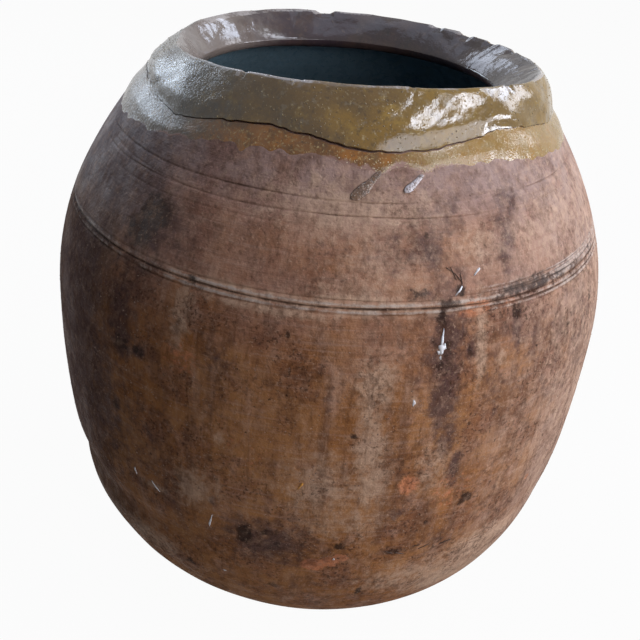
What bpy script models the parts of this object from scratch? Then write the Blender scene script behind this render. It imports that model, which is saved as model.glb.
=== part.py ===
"""A hand-thrown terracotta olive jar with a glazed rim, built up from luted clay sections.

Metres, +Z up. The origin is the centre of the foot, on the ground, and the front of the jar faces -Y.
Each clay section is turned as a profile and keyed into the next one with a V-shaped seam. The glaze
coats are thin shells that follow the clay. One last step bends every piece alike, the way a potter's
hands leave the rim, so the seams stay closed.
"""

import math

import bmesh
import bpy
import numpy as np

# Turning
SEGMENTS = 40  # facets round the jar, shared by all turned pieces so that neighbours line up

# Heights of the sections, each counted from the top of the one below
BASE_THICKNESS = 0.016
LOWER_WALL_HEIGHT = 0.091
BELLY_WALL_HEIGHT = 0.2045
SHOULDER_HEIGHT = 0.0885
RIM_HEIGHT = 0.024

# Outer curve, from the foot out to the belly and in again to the neck
FOOT_RADIUS = 0.138
FOOT_FLARE = math.radians(53)
FOOT_PULL = 0.033
FOOT_CHAMFER = 0.002
BELLY_RADIUS = 0.215
BELLY_LEVEL = 0.240
BELLY_PULL_DOWN = 0.203
BELLY_PULL_UP = 0.078
NECK_RADIUS = 0.1515
NECK_SLOPE = math.radians(31)
NECK_PULL = 0.036
WALL = 0.014

# Seams between the clay sections
SEAM_GAP = 0.00035
KEY_DEPTH = 0.004
SEAM_LINE_WIDTH = 0.0016
SEAM_LINE_DEPTH = 0.0006

# Incised lines, counted up from the seam between belly and shoulder, which lies in the middle one
LINE_WIDTH = 0.0026
LINE_DEPTH = 0.0012
BAND_PITCH = 0.0036
UPPER_LINE_RISE = 0.050
UPPER_LINE_PITCH = 0.0085

# Rim collar
LIP_RADIUS = 0.132
LIP_ROUND_OUT = 0.002
LIP_ROUND_IN = 0.005
LIP_DROP_IN = 0.0025
COLLAR_OVERHANG = 0.002
COLLAR_SIDE = 0.008
COLLAR_LEAN = 0.005
CRACK_OPENING = 0.0016
CRACK_DEPTH = 0.005
THROAT_RADIUS = 0.112
THROAT_RISE = 0.003
THROAT_EDGE = 0.0055
THROAT_ROUND = 0.004
FUNNEL_PULL = 0.006

# Glaze
GLAZE = 0.0008
GLAZE_GAP = 0.0003
GLAZE_FRONT_DROP = 0.0085
GLAZE_SIDE_DROP = 0.018
GLAZE_CRACK_MARGIN = 0.0008

# Glaze drips on the shoulder: angle from the front, drop below the neck, and size
DRIP_LEFT_ANGLE = math.radians(6.3)
DRIP_LEFT_TOP = 0.0115
DRIP_LEFT_LENGTH = 0.018
DRIP_LEFT_WIDTH = 0.011
DRIP_LEFT_LEAN = math.radians(2.6)
DRIP_RIGHT_ANGLE = math.radians(16.9)
DRIP_RIGHT_TOP = 0.0135
DRIP_RIGHT_LENGTH = 0.011
DRIP_RIGHT_WIDTH = 0.008
DRIP_RIGHT_LEAN = math.radians(1.9)
DRIP_THICKNESS = 0.0016
DRIP_TIP_SHARE = 0.55  # width at the upper tip, as a share of the width at the lower end

# What the hands left: the rim is tilted, out of round and off centre, and its edge is pressed down
RIM_TILT = 0.0045
RIM_SAG = 0.0026
RIM_OVAL = 0.001
RIM_LOBE = 0.003
RIM_SHIFT = 0.003
PRESS_COUNT = 6
PRESS_RISE = 0.004
PRESS_PHASE = math.radians(13)
PRESS_REACH = 0.020

# Levels worked out from the heights
BASE_TOP = BASE_THICKNESS
LOWER_TOP = BASE_TOP + LOWER_WALL_HEIGHT
BELLY_TOP = LOWER_TOP + BELLY_WALL_HEIGHT
NECK = BELLY_TOP + SHOULDER_HEIGHT
TOP = NECK + RIM_HEIGHT
CRACK_EDGE = (NECK_RADIUS + COLLAR_OVERHANG, NECK + CRACK_OPENING)


def bezier(start, start_pull, end_pull, end, count):
    """Points of a cubic curve in (radius, height)."""
    t = np.linspace(0.0, 1.0, count)[:, None]
    corners = [np.array(corner) for corner in (start, start_pull, end_pull, end)]
    return (
        (1 - t) ** 3 * corners[0]
        + 3 * (1 - t) ** 2 * t * corners[1]
        + 3 * (1 - t) * t**2 * corners[2]
        + t**3 * corners[3]
    )


def outer_curve():
    """The whole outer wall as a dense curve, carried on in a straight line above the neck."""
    foot = (FOOT_RADIUS, 0.0)
    flare = (
        FOOT_RADIUS + FOOT_PULL * math.cos(FOOT_FLARE),
        FOOT_PULL * math.sin(FOOT_FLARE),
    )
    belly = (BELLY_RADIUS, BELLY_LEVEL)
    below = (BELLY_RADIUS, BELLY_LEVEL - BELLY_PULL_DOWN)
    above = (BELLY_RADIUS, BELLY_LEVEL + BELLY_PULL_UP)
    neck = (NECK_RADIUS, NECK)
    slope = (
        NECK_RADIUS + NECK_PULL * math.sin(NECK_SLOPE),
        NECK - NECK_PULL * math.cos(NECK_SLOPE),
    )
    beyond = (NECK_RADIUS - 2 * RIM_HEIGHT * math.tan(NECK_SLOPE), NECK + 2 * RIM_HEIGHT)
    lower = bezier(foot, flare, below, belly, 120)
    upper = bezier(belly, above, slope, neck, 120)
    return np.vstack([lower, upper[1:], [beyond]])


OUTER_CURVE = outer_curve()


def wall_radius(z):
    return float(np.interp(z, OUTER_CURVE[:, 1], OUTER_CURVE[:, 0]))


def wall_slope(z):
    """How fast the outer radius grows with height."""
    step = 0.002
    return (wall_radius(z + step) - wall_radius(z - step)) / (2 * step)


def lining_radius(z):
    """Radius of the inside of the wall, one wall thickness in, measured square to the wall."""
    return wall_radius(z) - WALL * math.hypot(1.0, wall_slope(z))


def outer_run(top, bottom, count, lines=()):
    """Points down the outside of a wall, with a V cut at each incised line."""
    run = []
    for z in np.linspace(top, bottom, count):
        if all(abs(z - line) > LINE_WIDTH for line in lines):
            run.append((wall_radius(z), z))
    for line in lines:
        for shift, depth in ((0.5, 0.0), (0.0, LINE_DEPTH), (-0.5, 0.0)):
            z = line + shift * LINE_WIDTH
            run.append((wall_radius(z) - depth, z))
    return sorted(run, key=lambda point: -point[1])


def inner_run(bottom, top, count):
    """Points up the inside of a wall."""
    return [(lining_radius(z), z) for z in np.linspace(bottom, top, count)]


def key_tip(z):
    """The point of a V-shaped seam, halfway through the wall and below the seam's own level."""
    return (wall_radius(z) + lining_radius(z) - CRACK_DEPTH) / 2, z - KEY_DEPTH


def keyed_top(level, line_depth):
    """Top end of a wall, from its inside to its outside: a level edge with the V groove in it."""
    return [
        key_tip(level),
        (wall_radius(level) - CRACK_DEPTH, level),
        (wall_radius(level) - line_depth, level),
    ]


def keyed_bottom(level, line_depth):
    """Bottom end of a wall, from its outside to its inside, with the V ridge that fills the groove."""
    tip_radius, tip_z = key_tip(level)
    return [
        (wall_radius(level) - line_depth, level + SEAM_GAP),
        (wall_radius(level) - CRACK_DEPTH, level + SEAM_GAP),
        (tip_radius, tip_z + SEAM_GAP),
    ]


def base_profile():
    """A flat disc whose side already flares like the wall above it."""
    return [
        (0.0, BASE_TOP),
        (wall_radius(BASE_TOP), BASE_TOP),
        (wall_radius(BASE_TOP / 2), BASE_TOP / 2),
        (wall_radius(FOOT_CHAMFER), FOOT_CHAMFER),
        (FOOT_RADIUS - FOOT_CHAMFER, 0.0),
        (0.0, 0.0),
    ]


def lower_wall_profile():
    bottom = BASE_TOP + SEAM_GAP
    outside = outer_run(LOWER_TOP - SEAM_LINE_WIDTH / 2, bottom, 6)
    inside = inner_run(bottom, LOWER_TOP, 5)
    return outside + inside + keyed_top(LOWER_TOP, SEAM_LINE_DEPTH)


def belly_wall_profile():
    outside = outer_run(
        BELLY_TOP - LINE_WIDTH / 2,
        LOWER_TOP + SEAM_GAP + SEAM_LINE_WIDTH / 2,
        9,
        lines=[BELLY_TOP - BAND_PITCH],
    )
    inside = inner_run(LOWER_TOP + SEAM_GAP, BELLY_TOP, 7)
    bottom = keyed_bottom(LOWER_TOP, SEAM_LINE_DEPTH)
    return outside + bottom + inside + keyed_top(BELLY_TOP, LINE_DEPTH)


def shoulder_wall_profile():
    upper_line = BELLY_TOP + UPPER_LINE_RISE
    outside = outer_run(
        NECK,
        BELLY_TOP + SEAM_GAP + LINE_WIDTH / 2,
        8,
        lines=[BELLY_TOP + BAND_PITCH, upper_line, upper_line + UPPER_LINE_PITCH],
    )
    inside = inner_run(BELLY_TOP + SEAM_GAP, NECK, 5)
    bottom = keyed_bottom(BELLY_TOP, LINE_DEPTH)
    top = keyed_top(NECK, CRACK_DEPTH)[:2]
    return outside + bottom + inside + top


def collar_face():
    """Outside of the collar: rounded out from the lip, then down to the hand-pressed edge."""
    edge_radius, edge_z = CRACK_EDGE
    return bezier(
        (LIP_RADIUS, TOP),
        (LIP_RADIUS + LIP_ROUND_OUT, TOP),
        (edge_radius - COLLAR_LEAN, edge_z + COLLAR_SIDE),
        CRACK_EDGE,
        8,
    )


def soffit_run():
    """Underside of the collar inside the jar, from the wall to the bottom of the throat."""
    throat_bottom = NECK + THROAT_RISE - THROAT_EDGE
    return [
        (lining_radius(NECK), NECK + SEAM_GAP),
        ((lining_radius(NECK) + THROAT_RADIUS) / 2, (NECK + throat_bottom) / 2),
        (THROAT_RADIUS + THROAT_ROUND, throat_bottom),
    ]


def funnel_face():
    """Inside of the mouth: up round the throat's edge and out along the funnel to the lip."""
    throat_z = NECK + THROAT_RISE
    edge = [(THROAT_RADIUS, throat_z - THROAT_EDGE + THROAT_ROUND)]
    funnel = bezier(
        (THROAT_RADIUS, throat_z),
        (THROAT_RADIUS, throat_z + FUNNEL_PULL),
        (LIP_RADIUS - LIP_ROUND_IN, TOP - LIP_DROP_IN),
        (LIP_RADIUS, TOP),
        10,
    )
    return edge + [tuple(point) for point in funnel]


def rim_collar_profile():
    """Thick ring laid on the shoulder; its lower edge stands proud and leaves the open crack."""
    tucked = keyed_bottom(NECK, CRACK_DEPTH)[1:]
    face = [tuple(point) for point in collar_face()]
    return face + tucked + soffit_run() + funnel_face()[:-1]


def coat(run, thickness):
    """A glaze shell on a run of clay points: its outer face along the run, then back along the clay."""
    points = np.array(run)
    along = np.diff(points, axis=0)
    along /= np.linalg.norm(along, axis=1)[:, None]
    square = np.column_stack([-along[:, 1], along[:, 0]])
    first = np.vstack([square[:1], square])
    second = np.vstack([square, square[-1:]])
    mitre = first + second
    mitre /= np.sum(mitre * second, axis=1)[:, None]
    far = points + (GLAZE_GAP + thickness) * mitre
    near = points + GLAZE_GAP * mitre
    return [tuple(point) for point in far] + [tuple(point) for point in near[::-1]]


def collar_glaze_profile():
    return coat(collar_face(), GLAZE)


def mouth_glaze_profile():
    """From the bottom of the throat's edge up to the lip, where it stops short of the outer coat."""
    return coat(funnel_face()[:-1], GLAZE)


def shoulder_glaze_profile():
    """A band below the crack; its lower edge is drawn down further once it is turned."""
    top = NECK - GLAZE_CRACK_MARGIN
    return coat(outer_run(top, NECK - GLAZE_FRONT_DROP, 4), GLAZE)


def inside_glaze_profile():
    """Lining of the floor and the walls, closed over the axis."""
    floor = [(0.0, BASE_TOP)]
    walls = (
        inner_run(BASE_TOP, LOWER_TOP, 5)
        + inner_run(LOWER_TOP + SEAM_GAP, BELLY_TOP, 7)[1:]
        + inner_run(BELLY_TOP + SEAM_GAP, NECK, 5)[1:]
    )
    loop = coat(floor + walls, GLAZE)
    loop[0] = (0.0, loop[0][1])
    loop[-1] = (0.0, loop[-1][1])
    return loop


def front_angle(x, y):
    """Angle round the jar from its front, growing to the right."""
    return math.atan2(x, -y)


def ramp(value, low, high):
    return min(1.0, max(0.0, (value - low) / (high - low)))


def draw_down(x, y, z):
    """Lets the lower edge of the shoulder glaze hang lower at both sides than at the front and back."""
    top = NECK - GLAZE_CRACK_MARGIN
    sides = (1 - math.cos(2 * front_angle(x, y))) / 2
    stretch = 1 + sides * GLAZE_SIDE_DROP / GLAZE_FRONT_DROP
    lower = top - (top - z) * stretch
    radius = math.hypot(x, y)
    slid = (radius + wall_radius(lower) - wall_radius(z)) / radius
    return x * slid, y * slid, lower


def hand_made(x, y, z):
    """Moves a point of the true turned jar to where the potter's hands left it."""
    radius = math.hypot(x, y)
    if radius == 0.0:
        return x, y, z
    angle = front_angle(x, y)
    seam = ramp(z, NECK - PRESS_REACH, NECK - KEY_DEPTH) - ramp(z, NECK + CRACK_OPENING, TOP)
    outside = ramp(radius, THROAT_RADIUS, lining_radius(z))
    rise = -PRESS_RISE * math.cos(PRESS_COUNT * (angle - PRESS_PHASE)) * seam * outside
    pushed = radius + wall_radius(z + rise) - wall_radius(z)
    rim = ramp(z, NECK, TOP)
    pushed -= rim * (RIM_OVAL * math.cos(2 * angle) + RIM_LOBE * math.sin(3 * angle))
    lifted = z + rise + rim * (RIM_TILT * math.cos(angle) + RIM_SAG * math.cos(2 * angle))
    return x * pushed / radius + RIM_SHIFT * rim, y * pushed / radius, lifted


def move_vertices(mesh, rule):
    for vertex in mesh.vertices:
        vertex.co = rule(*vertex.co)


def material(name, colour, roughness, metallic=0.0):
    made = bpy.data.materials.new(name)
    made.use_nodes = True
    shader = made.node_tree.nodes["Principled BSDF"]
    shader.inputs["Base Color"].default_value = (*colour, 1.0)
    shader.inputs["Roughness"].default_value = roughness
    shader.inputs["Metallic"].default_value = metallic
    made.diffuse_color = (*colour, 1.0)
    return made


def add_object(name, mesh, collection, look):
    piece = bpy.data.objects.new(name, mesh)
    collection.objects.link(piece)
    mesh.materials.clear()
    mesh.materials.append(look)
    return piece


def turn(name, profile, collection, look, rules):
    """Turns a profile into a closed ring or dish, then bends it by the given rules."""
    outline = bpy.data.meshes.new(name + "_profile")
    points = [(radius, 0.0, z) for radius, z in profile]
    edges = [(index, index + 1) for index in range(len(points) - 1)]
    if profile[0][0] > 0.0:
        edges.append((len(points) - 1, 0))
    outline.from_pydata(points, edges, [])
    piece = add_object(name, outline, collection, look)
    screw = piece.modifiers.new("Turn", "SCREW")
    screw.steps = SEGMENTS
    screw.render_steps = SEGMENTS
    screw.use_merge_vertices = True
    screw.merge_threshold = 0.00001
    turned = bpy.data.meshes.new_from_object(
        piece.evaluated_get(bpy.context.evaluated_depsgraph_get())
    )
    piece.modifiers.remove(screw)
    for rule in rules:
        move_vertices(turned, rule)
    turned.name = name
    turned.shade_smooth()
    turned.set_sharp_from_angle(angle=math.radians(40))
    piece.data = turned
    bpy.data.meshes.remove(outline)
    return piece


def drip(name, angle, top, length, width, lean, collection, look):
    """A run of glaze: a round bead wrapped on the shoulder, flat behind, narrower at its upper tip."""
    mesh = bpy.data.meshes.new(name)
    bead = bmesh.new()
    bmesh.ops.create_uvsphere(bead, u_segments=16, v_segments=10, radius=1.0)
    for vertex in bead.verts:
        across, up, out = vertex.co
        taper = 1 - (1 - DRIP_TIP_SHARE) * (up + 1) / 2
        z = NECK - top - length * (1 - up) / 2
        base = wall_radius(z) + GLAZE_GAP
        turn_angle = angle + lean * up + across * taper * width / 2 / base
        radius = base + max(out, 0.0) * DRIP_THICKNESS
        vertex.co = (radius * math.sin(turn_angle), -radius * math.cos(turn_angle), z)
    bead.to_mesh(mesh)
    bead.free()
    move_vertices(mesh, hand_made)
    mesh.shade_smooth()
    return add_object(name, mesh, collection, look)


def build():
    for leftover in list(bpy.data.objects):
        bpy.data.objects.remove(leftover)
    jar = bpy.data.collections.new("terracotta_olive_jar")
    bpy.context.scene.collection.children.link(jar)

    sections = {
        "base_disc": (base_profile(), (0.27, 0.14, 0.09)),
        "lower_wall": (lower_wall_profile(), (0.25, 0.125, 0.075)),
        "belly_wall": (belly_wall_profile(), (0.27, 0.13, 0.08)),
        "shoulder_wall": (shoulder_wall_profile(), (0.26, 0.135, 0.095)),
        "rim_collar": (rim_collar_profile(), (0.24, 0.11, 0.07)),
    }
    for name, (profile, colour) in sections.items():
        clay = material(name + "_fired_clay", colour, 0.75)
        turn(name, profile, jar, clay, [hand_made])

    coats = {
        "collar_glaze": (collar_glaze_profile(), (0.27, 0.13, 0.035), [hand_made]),
        "mouth_glaze": (mouth_glaze_profile(), (0.21, 0.11, 0.09), [hand_made]),
        "shoulder_glaze": (shoulder_glaze_profile(), (0.30, 0.13, 0.05), [draw_down, hand_made]),
        "inside_glaze": (inside_glaze_profile(), (0.05, 0.04, 0.05), [hand_made]),
    }
    for name, (profile, colour, rules) in coats.items():
        glaze = material(name + "_lead_glaze", colour, 0.2)
        turn(name, profile, jar, glaze, rules)

    run_colour = (0.22, 0.12, 0.04)
    drip(
        "glaze_drip_left",
        DRIP_LEFT_ANGLE,
        DRIP_LEFT_TOP,
        DRIP_LEFT_LENGTH,
        DRIP_LEFT_WIDTH,
        DRIP_LEFT_LEAN,
        jar,
        material("glaze_drip_left_lead_glaze", run_colour, 0.2),
    )
    drip(
        "glaze_drip_right",
        DRIP_RIGHT_ANGLE,
        DRIP_RIGHT_TOP,
        DRIP_RIGHT_LENGTH,
        DRIP_RIGHT_WIDTH,
        DRIP_RIGHT_LEAN,
        jar,
        material("glaze_drip_right_lead_glaze", run_colour, 0.2),
    )


build()
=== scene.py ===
"""A hand-thrown terracotta olive jar with a glazed rim: its fine surfaces, materials, light and camera.

Metres, +Z up, in the frame of the solids: the foot's centre is the origin and the front faces -Y.
Angles round the jar are counted from the front, growing to the right.
"""

import math

import bmesh
import bpy
import numpy as np
from mathutils import Matrix, Vector


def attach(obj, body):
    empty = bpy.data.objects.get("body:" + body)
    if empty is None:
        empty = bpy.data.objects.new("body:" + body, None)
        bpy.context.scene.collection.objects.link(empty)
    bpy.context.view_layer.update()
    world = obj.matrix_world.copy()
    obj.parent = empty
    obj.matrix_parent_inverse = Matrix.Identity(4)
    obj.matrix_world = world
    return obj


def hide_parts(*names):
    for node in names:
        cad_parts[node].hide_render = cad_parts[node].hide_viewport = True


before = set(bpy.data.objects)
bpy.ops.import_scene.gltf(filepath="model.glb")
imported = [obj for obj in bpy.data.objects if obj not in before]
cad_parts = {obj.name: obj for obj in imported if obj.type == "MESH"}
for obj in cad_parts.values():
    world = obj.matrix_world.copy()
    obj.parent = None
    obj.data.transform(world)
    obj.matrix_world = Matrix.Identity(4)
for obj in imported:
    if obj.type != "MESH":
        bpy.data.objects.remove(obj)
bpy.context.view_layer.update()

# Levels and outer curve of the clay, as the solids have them
BASE_TOP = 0.016
LOWER_TOP = BASE_TOP + 0.091
BELLY_TOP = LOWER_TOP + 0.2045
NECK = BELLY_TOP + 0.0885
TOP = NECK + 0.024
FOOT_RADIUS = 0.138
FOOT_FLARE = math.radians(53)
FOOT_PULL = 0.033
FOOT_CHAMFER = 0.002
BELLY_RADIUS = 0.215
BELLY_LEVEL = 0.240
BELLY_PULL_DOWN = 0.203
BELLY_PULL_UP = 0.078
NECK_RADIUS = 0.1515
NECK_SLOPE = math.radians(31)
NECK_PULL = 0.036
WALL = 0.014

# Rim collar and throat
LIP_RADIUS = 0.132
LIP_ROUND_OUT = 0.002
LIP_ROUND_IN = 0.005
LIP_DROP_IN = 0.0025
COLLAR_OVERHANG = 0.002
COLLAR_SIDE = 0.008
COLLAR_LEAN = 0.005
CRACK_OPENING = 0.0016
CRACK_DEPTH = 0.005
KEY_DEPTH = 0.004
THROAT_RADIUS = 0.112
THROAT_RISE = 0.003
THROAT_EDGE = 0.0055
THROAT_ROUND = 0.004
FUNNEL_PULL = 0.0025

# Glaze coats
GLAZE = 0.0008
GLAZE_GAP = 0.0002
GLAZE_CRACK_MARGIN = 0.0008
GLAZE_TOP = NECK - GLAZE_CRACK_MARGIN
GLAZE_FRONT_DROP = 0.0085
GLAZE_SIDE_DROP = 0.018
GLAZE_LEAST_DROP = 0.003
FRINGE_EDGE = 0.0001
FRINGE_SINK = 0.0003
LINING_CORNER_IN = 0.006
LINING_CORNER_UP = 0.004

# Tongues of the glaze on the shoulder: angle and half width in degrees, length
GLAZE_TONGUES = (
    (-23, 1.3, 0.004),
    (9.6, 2.0, 0.0045),
    (20, 2.4, 0.005),
    (-52, 2.0, 0.003),
    (-14, 9.0, 0.002),
    (5, 7.0, 0.004),
)

# The two frozen drips: angle in degrees, drop below the neck, length, width, share of the width that the tail
# has, lean in degrees, thickness
LEFT_DRIP = (9.2, 0.0112, 0.0178, 0.0120, 0.50, 5.0, 0.0013)
RIGHT_DRIP = (18.9, 0.0135, 0.0108, 0.0085, 0.60, 3.6, 0.0014)
# Where along them the tail swells to the bead, the share of the thickness under their widest line, the slant
# of their ends, and how far and how often they waver
DRIP_SWELLING = (0.20, 0.75)
DRIP_UNDER = 0.12
DRIP_SLANT = 0.15
DRIP_WAVER = 0.0006
DRIP_WAVERS = 7

# Dried splashes, in rings from below: share of the outline, and height over the wall
SPLASH_RINGS = ((1.0, -0.0002), (1.0, 0.00025), (0.0, 0.00045), (0.0, -0.0002))
# Their ragged outline: how deep the lobes are, how many, and how much each splash is turned from the last
SPLASH_LOBES = ((0.25, 3, 1), (0.15, 5, 2))

# Grains lie flat: their radius times this, with the height last
GRAIN_SHAPE = (1.0, 1.0, 0.45)

# How the hands left the rim
RIM_TILT = 0.0045
RIM_SAG = 0.0026
RIM_OVAL = 0.001
RIM_LOBE = 0.003
RIM_SHIFT = 0.0045
RIM_LIFT = 0.0022
RIM_LIFT_ANGLE = math.radians(-125)
RIM_LIFT_WIDTH = math.radians(28)
SIDE_PINCH = 0.0026
PINCHED_LEVELS = (NECK - 0.014, NECK, NECK + 0.004, TOP - 0.004)
LUMPY_LEVELS = (NECK - 0.004, NECK + 0.008)
PRESS_COUNT = 6
PRESS_RISE = 0.004
PRESS_PHASE = math.radians(13)
PRESS_REACH = 0.020

# The collar's lower edge is smeared down over the crack: fully at the left, in places elsewhere
CRACK_SHUT_FROM = math.radians(-14)
CRACK_SHUT_FULL = math.radians(-36)
CRACK_SHUT_MEAN = 0.6
CRACK_SHUT_LEAST = 0.35
CRACK_SHUT_MOST = 0.92
CRACK_SHUT_REACH = 0.010
CRACK_SMEAR_IN = 0.9 * COLLAR_OVERHANG

# Unevenness round the jar, as sums of waves: height, numbers of waves in a turn, and how far out of step
CRACK_SHUT_WAVES = ((0.6, (3, 5, 8, 13), 1.3),)
COLLAR_EDGE_WAVES = ((0.0010, (9, 14, 23, 31), 2), (0.0005, (43, 61, 83, 109), 5))
LIP_WAVES = ((0.0007, (4, 7, 11, 17, 29), 6),)
LIP_HIGHLIGHT_WAVES = ((0.7, (3, 7, 11, 17, 26), 3),)
FRINGE_WAVES = ((0.0016, (7, 12, 17, 27, 41), 3), (0.0010, (53, 67, 89), 2))
SEAM_WAVES = ((0.0015, (1, 2, 5, 7), 3),)
SEAM_OPEN_WAVES = ((0.9, (2, 3, 7, 13), 5),)
RIDGE_RUB_WAVES = ((0.35, (2, 5, 9, 14), 4),)
# Lumps of the collar, which slant as they climb: radians per metre of height, and their waves
COLLAR_LUMPS = (
    (9, ((0.0015, (5, 8, 13, 19), 4),)),
    (-14, ((0.0002, (27, 38, 53), 2),)),
)

# How out of step the waves of a group are, how they fade with their number, and what brings them to 1
RIPPLE_STEP = 1.7
RIPPLE_FADE = 0.15
RIPPLE_GAIN = 1.4

# Fineness of the meshes
SEGMENTS = 600
PATH_RADIUS = 0.15
FINE = 0.0022
COARSE = 0.008
LINE_STEP = 0.0005
CURVE_POINTS = 400
COLLAR_POINTS = 40
FUNNEL_POINTS = 30
THROAT_POINTS = 8
FOOT_SIDE_POINTS = 8
FOOT_UNDER_POINTS = 12
FLOOR_POINTS = 20
FRINGE_POINTS = 28
DRIP_RINGS = 48
DRIP_SIDES = 24
SPLASH_SIDES = 14
MERGE_TURNED = 0.00001
MERGE_SMALL = 0.000001
SHARP_EDGE = math.radians(50)
# In widths of a line: how far the fine steps reach from it, and how far the others stay away
LINE_REACH = 1.6
LINE_CLEAR = 1.7

# What throwing left in the clay: fine ridges and a slow wobble
THROWN_RIDGE_HEIGHT = 0.0045
THROWN_RIDGE_LENGTH = 0.11
THROWN_RIDGE_DEPTH = 0.00035
THROWN_WOBBLE_SIZE = 0.07
THROWN_WOBBLE_DEPTH = 0.0016

# Incised lines: height, depth and width; the first three make the band on the seam
INCISED_LINES = (
    (BELLY_TOP - 0.0041, 0.0011, 0.0026),
    (BELLY_TOP, 0.0014, 0.0026),
    (BELLY_TOP + 0.0043, 0.0010, 0.0024),
    (BELLY_TOP + 0.0430, 0.0004, 0.0016),
    (BELLY_TOP + 0.0500, 0.0009, 0.0019),
    (BELLY_TOP + 0.0585, 0.0011, 0.0019),
)
LINE_WANDER = 0.0007
LINE_WANDER_COUNTS = (1, 3, 4, 9)
LINE_PRESS = 0.75
LINE_PRESS_SWING = 0.35
LINE_PRESS_COUNTS = (2, 5, 11, 23)
# Scratches beside the lines: height where they start, climb per degree, depth, first and last degree
SCRATCHES = (
    (BELLY_TOP + 0.0440, 0.00008, 0.0005, 26, 64),
    (BELLY_TOP + 0.0465, 0.00012, 0.0006, 30, 72),
    (BELLY_TOP + 0.0600, -0.00006, 0.0005, 34, 68),
    (BELLY_TOP + 0.0410, 0.00002, 0.0004, 12, 40),
    (BELLY_TOP + 0.0545, -0.00010, 0.0004, -70, -30),
    (BELLY_TOP + 0.0052, 0.00003, 0.0008, 18, 88),
    (BELLY_TOP + 0.0075, 0.00004, 0.0008, 26, 88),
    (BELLY_TOP - 0.0060, -0.00002, 0.0006, 24, 80),
)
SCRATCH_WIDTH = 0.0014
SCRATCH_FADE = 8
SCRATCH_WANDER = LINE_WANDER / 2
SCRATCH_WANDER_COUNTS = (5, 9, 14)
SCRATCHED = (
    (BELLY_TOP + 0.0400, BELLY_TOP + 0.0615),
    (BELLY_TOP - 0.0075, BELLY_TOP + 0.0115),
)

# The luted seam above the lower wall: pressed in above, bulging below, most at the left
SEAM_PRESS = 0.0042
SEAM_PRESS_RISE = -0.001
SEAM_PRESS_HEIGHT = 0.013
SEAM_PRESS_LEAST = 0.15
SEAM_PRESS_NARROWING = 4
SEAM_PRESS_ANGLE = math.radians(-66)
SEAM_BULGE = 0.0012
SEAM_BULGE_DROP = 0.036
SEAM_CUT = 0.0009
SEAM_CUT_WIDTH = 0.0018
SEAM_OPEN_MEAN = 0.35

# Chips knocked out of the lip: angle in degrees, half width in degrees, depth
LIP_CHIPS = (
    (-31, 0.9, 0.0010),
    (-14, 0.5, 0.0005),
    (17, 0.6, 0.0005),
    (52, 1.5, 0.0010),
    (-168, 3.5, 0.0022),
    (148, 2.5, 0.0012),
    (136, 3.0, 0.0020),
    (124, 2.5, 0.0014),
    (112, 2.0, 0.0012),
    (88, 1.2, 0.0008),
)
CHIP_REACH = 0.005
CHIP_FLATNESS = 1.3
CHIP_JAG = 0.3
CHIP_JAGS_PER_DEGREE = 5.3


def bezier(start, start_pull, end_pull, end, count):
    """Points of a cubic curve in (radius, height)."""
    t = np.linspace(0.0, 1.0, count)[:, None]
    corners = [np.array(corner) for corner in (start, start_pull, end_pull, end)]
    return (
        (1 - t) ** 3 * corners[0]
        + 3 * (1 - t) ** 2 * t * corners[1]
        + 3 * (1 - t) * t**2 * corners[2]
        + t**3 * corners[3]
    )


def outer_curve():
    """The whole outer wall as a dense curve, carried on in a straight line above the neck."""
    flare = (
        FOOT_RADIUS + FOOT_PULL * math.cos(FOOT_FLARE),
        FOOT_PULL * math.sin(FOOT_FLARE),
    )
    slope = (
        NECK_RADIUS + NECK_PULL * math.sin(NECK_SLOPE),
        NECK - NECK_PULL * math.cos(NECK_SLOPE),
    )
    belly = (BELLY_RADIUS, BELLY_LEVEL)
    below = (BELLY_RADIUS, BELLY_LEVEL - BELLY_PULL_DOWN)
    above = (BELLY_RADIUS, BELLY_LEVEL + BELLY_PULL_UP)
    reach = 2 * (TOP - NECK)
    beyond = (NECK_RADIUS - reach * math.tan(NECK_SLOPE), NECK + reach)
    lower = bezier((FOOT_RADIUS, 0.0), flare, below, belly, CURVE_POINTS)
    upper = bezier(belly, above, slope, (NECK_RADIUS, NECK), CURVE_POINTS)
    return np.vstack([lower, upper[1:], [beyond]])


OUTER_CURVE = outer_curve()


def wall_radius(z):
    """Radius of the outside of the wall at a height."""
    return np.interp(z, OUTER_CURVE[:, 1], OUTER_CURVE[:, 0])


def lining_radius(z):
    """Radius of the inside of the wall, one wall thickness in, measured square to the wall."""
    step = 0.002
    slope = (wall_radius(z + step) - wall_radius(z - step)) / (2 * step)
    return wall_radius(z) - WALL * np.hypot(1.0, slope)


# Rules that shapes and stains share

def ramp(value, low, high):
    """From 0 at low to 1 at high, in a straight line."""
    return np.clip((value - low) / (high - low), 0.0, 1.0)


def smooth(value, low, high):
    """From 0 at low to 1 at high, easing in and out."""
    t = ramp(value, low, high)
    return t * t * (3 - 2 * t)


def window(value, start, full, fade, gone):
    """Rises smoothly between start and full, and falls again between fade and gone."""
    return smooth(value, start, full) * (1 - smooth(value, fade, gone))


def bell(value):
    """A soft hump: 1 at 0, falling to nothing on both sides."""
    return np.exp(-(value**2))


def groove(away, width):
    """Section of a cut line: 1 in its middle, 0 from half its width outwards."""
    return np.clip(1 - np.abs(away) / (width / 2), 0.0, 1.0)


def turn_from(angle, middle):
    """How far an angle is from a middle, at most half a turn either way."""
    return (angle - middle + math.pi) % (2 * math.pi) - math.pi


def ripple(angle, counts, step):
    """A wave round the jar between about -1 and 1: a few whole numbers of waves, each out of step."""
    total = sum(
        np.sin(count * angle + RIPPLE_STEP * count * step) / (1 + RIPPLE_FADE * index)
        for index, count in enumerate(counts)
    )
    return total / len(counts) * RIPPLE_GAIN


def waves(angle, group):
    """The sum of a group of ripples, each with its height, numbers of waves and step."""
    return sum(height * ripple(angle, counts, step) for height, counts, step in group)


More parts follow.
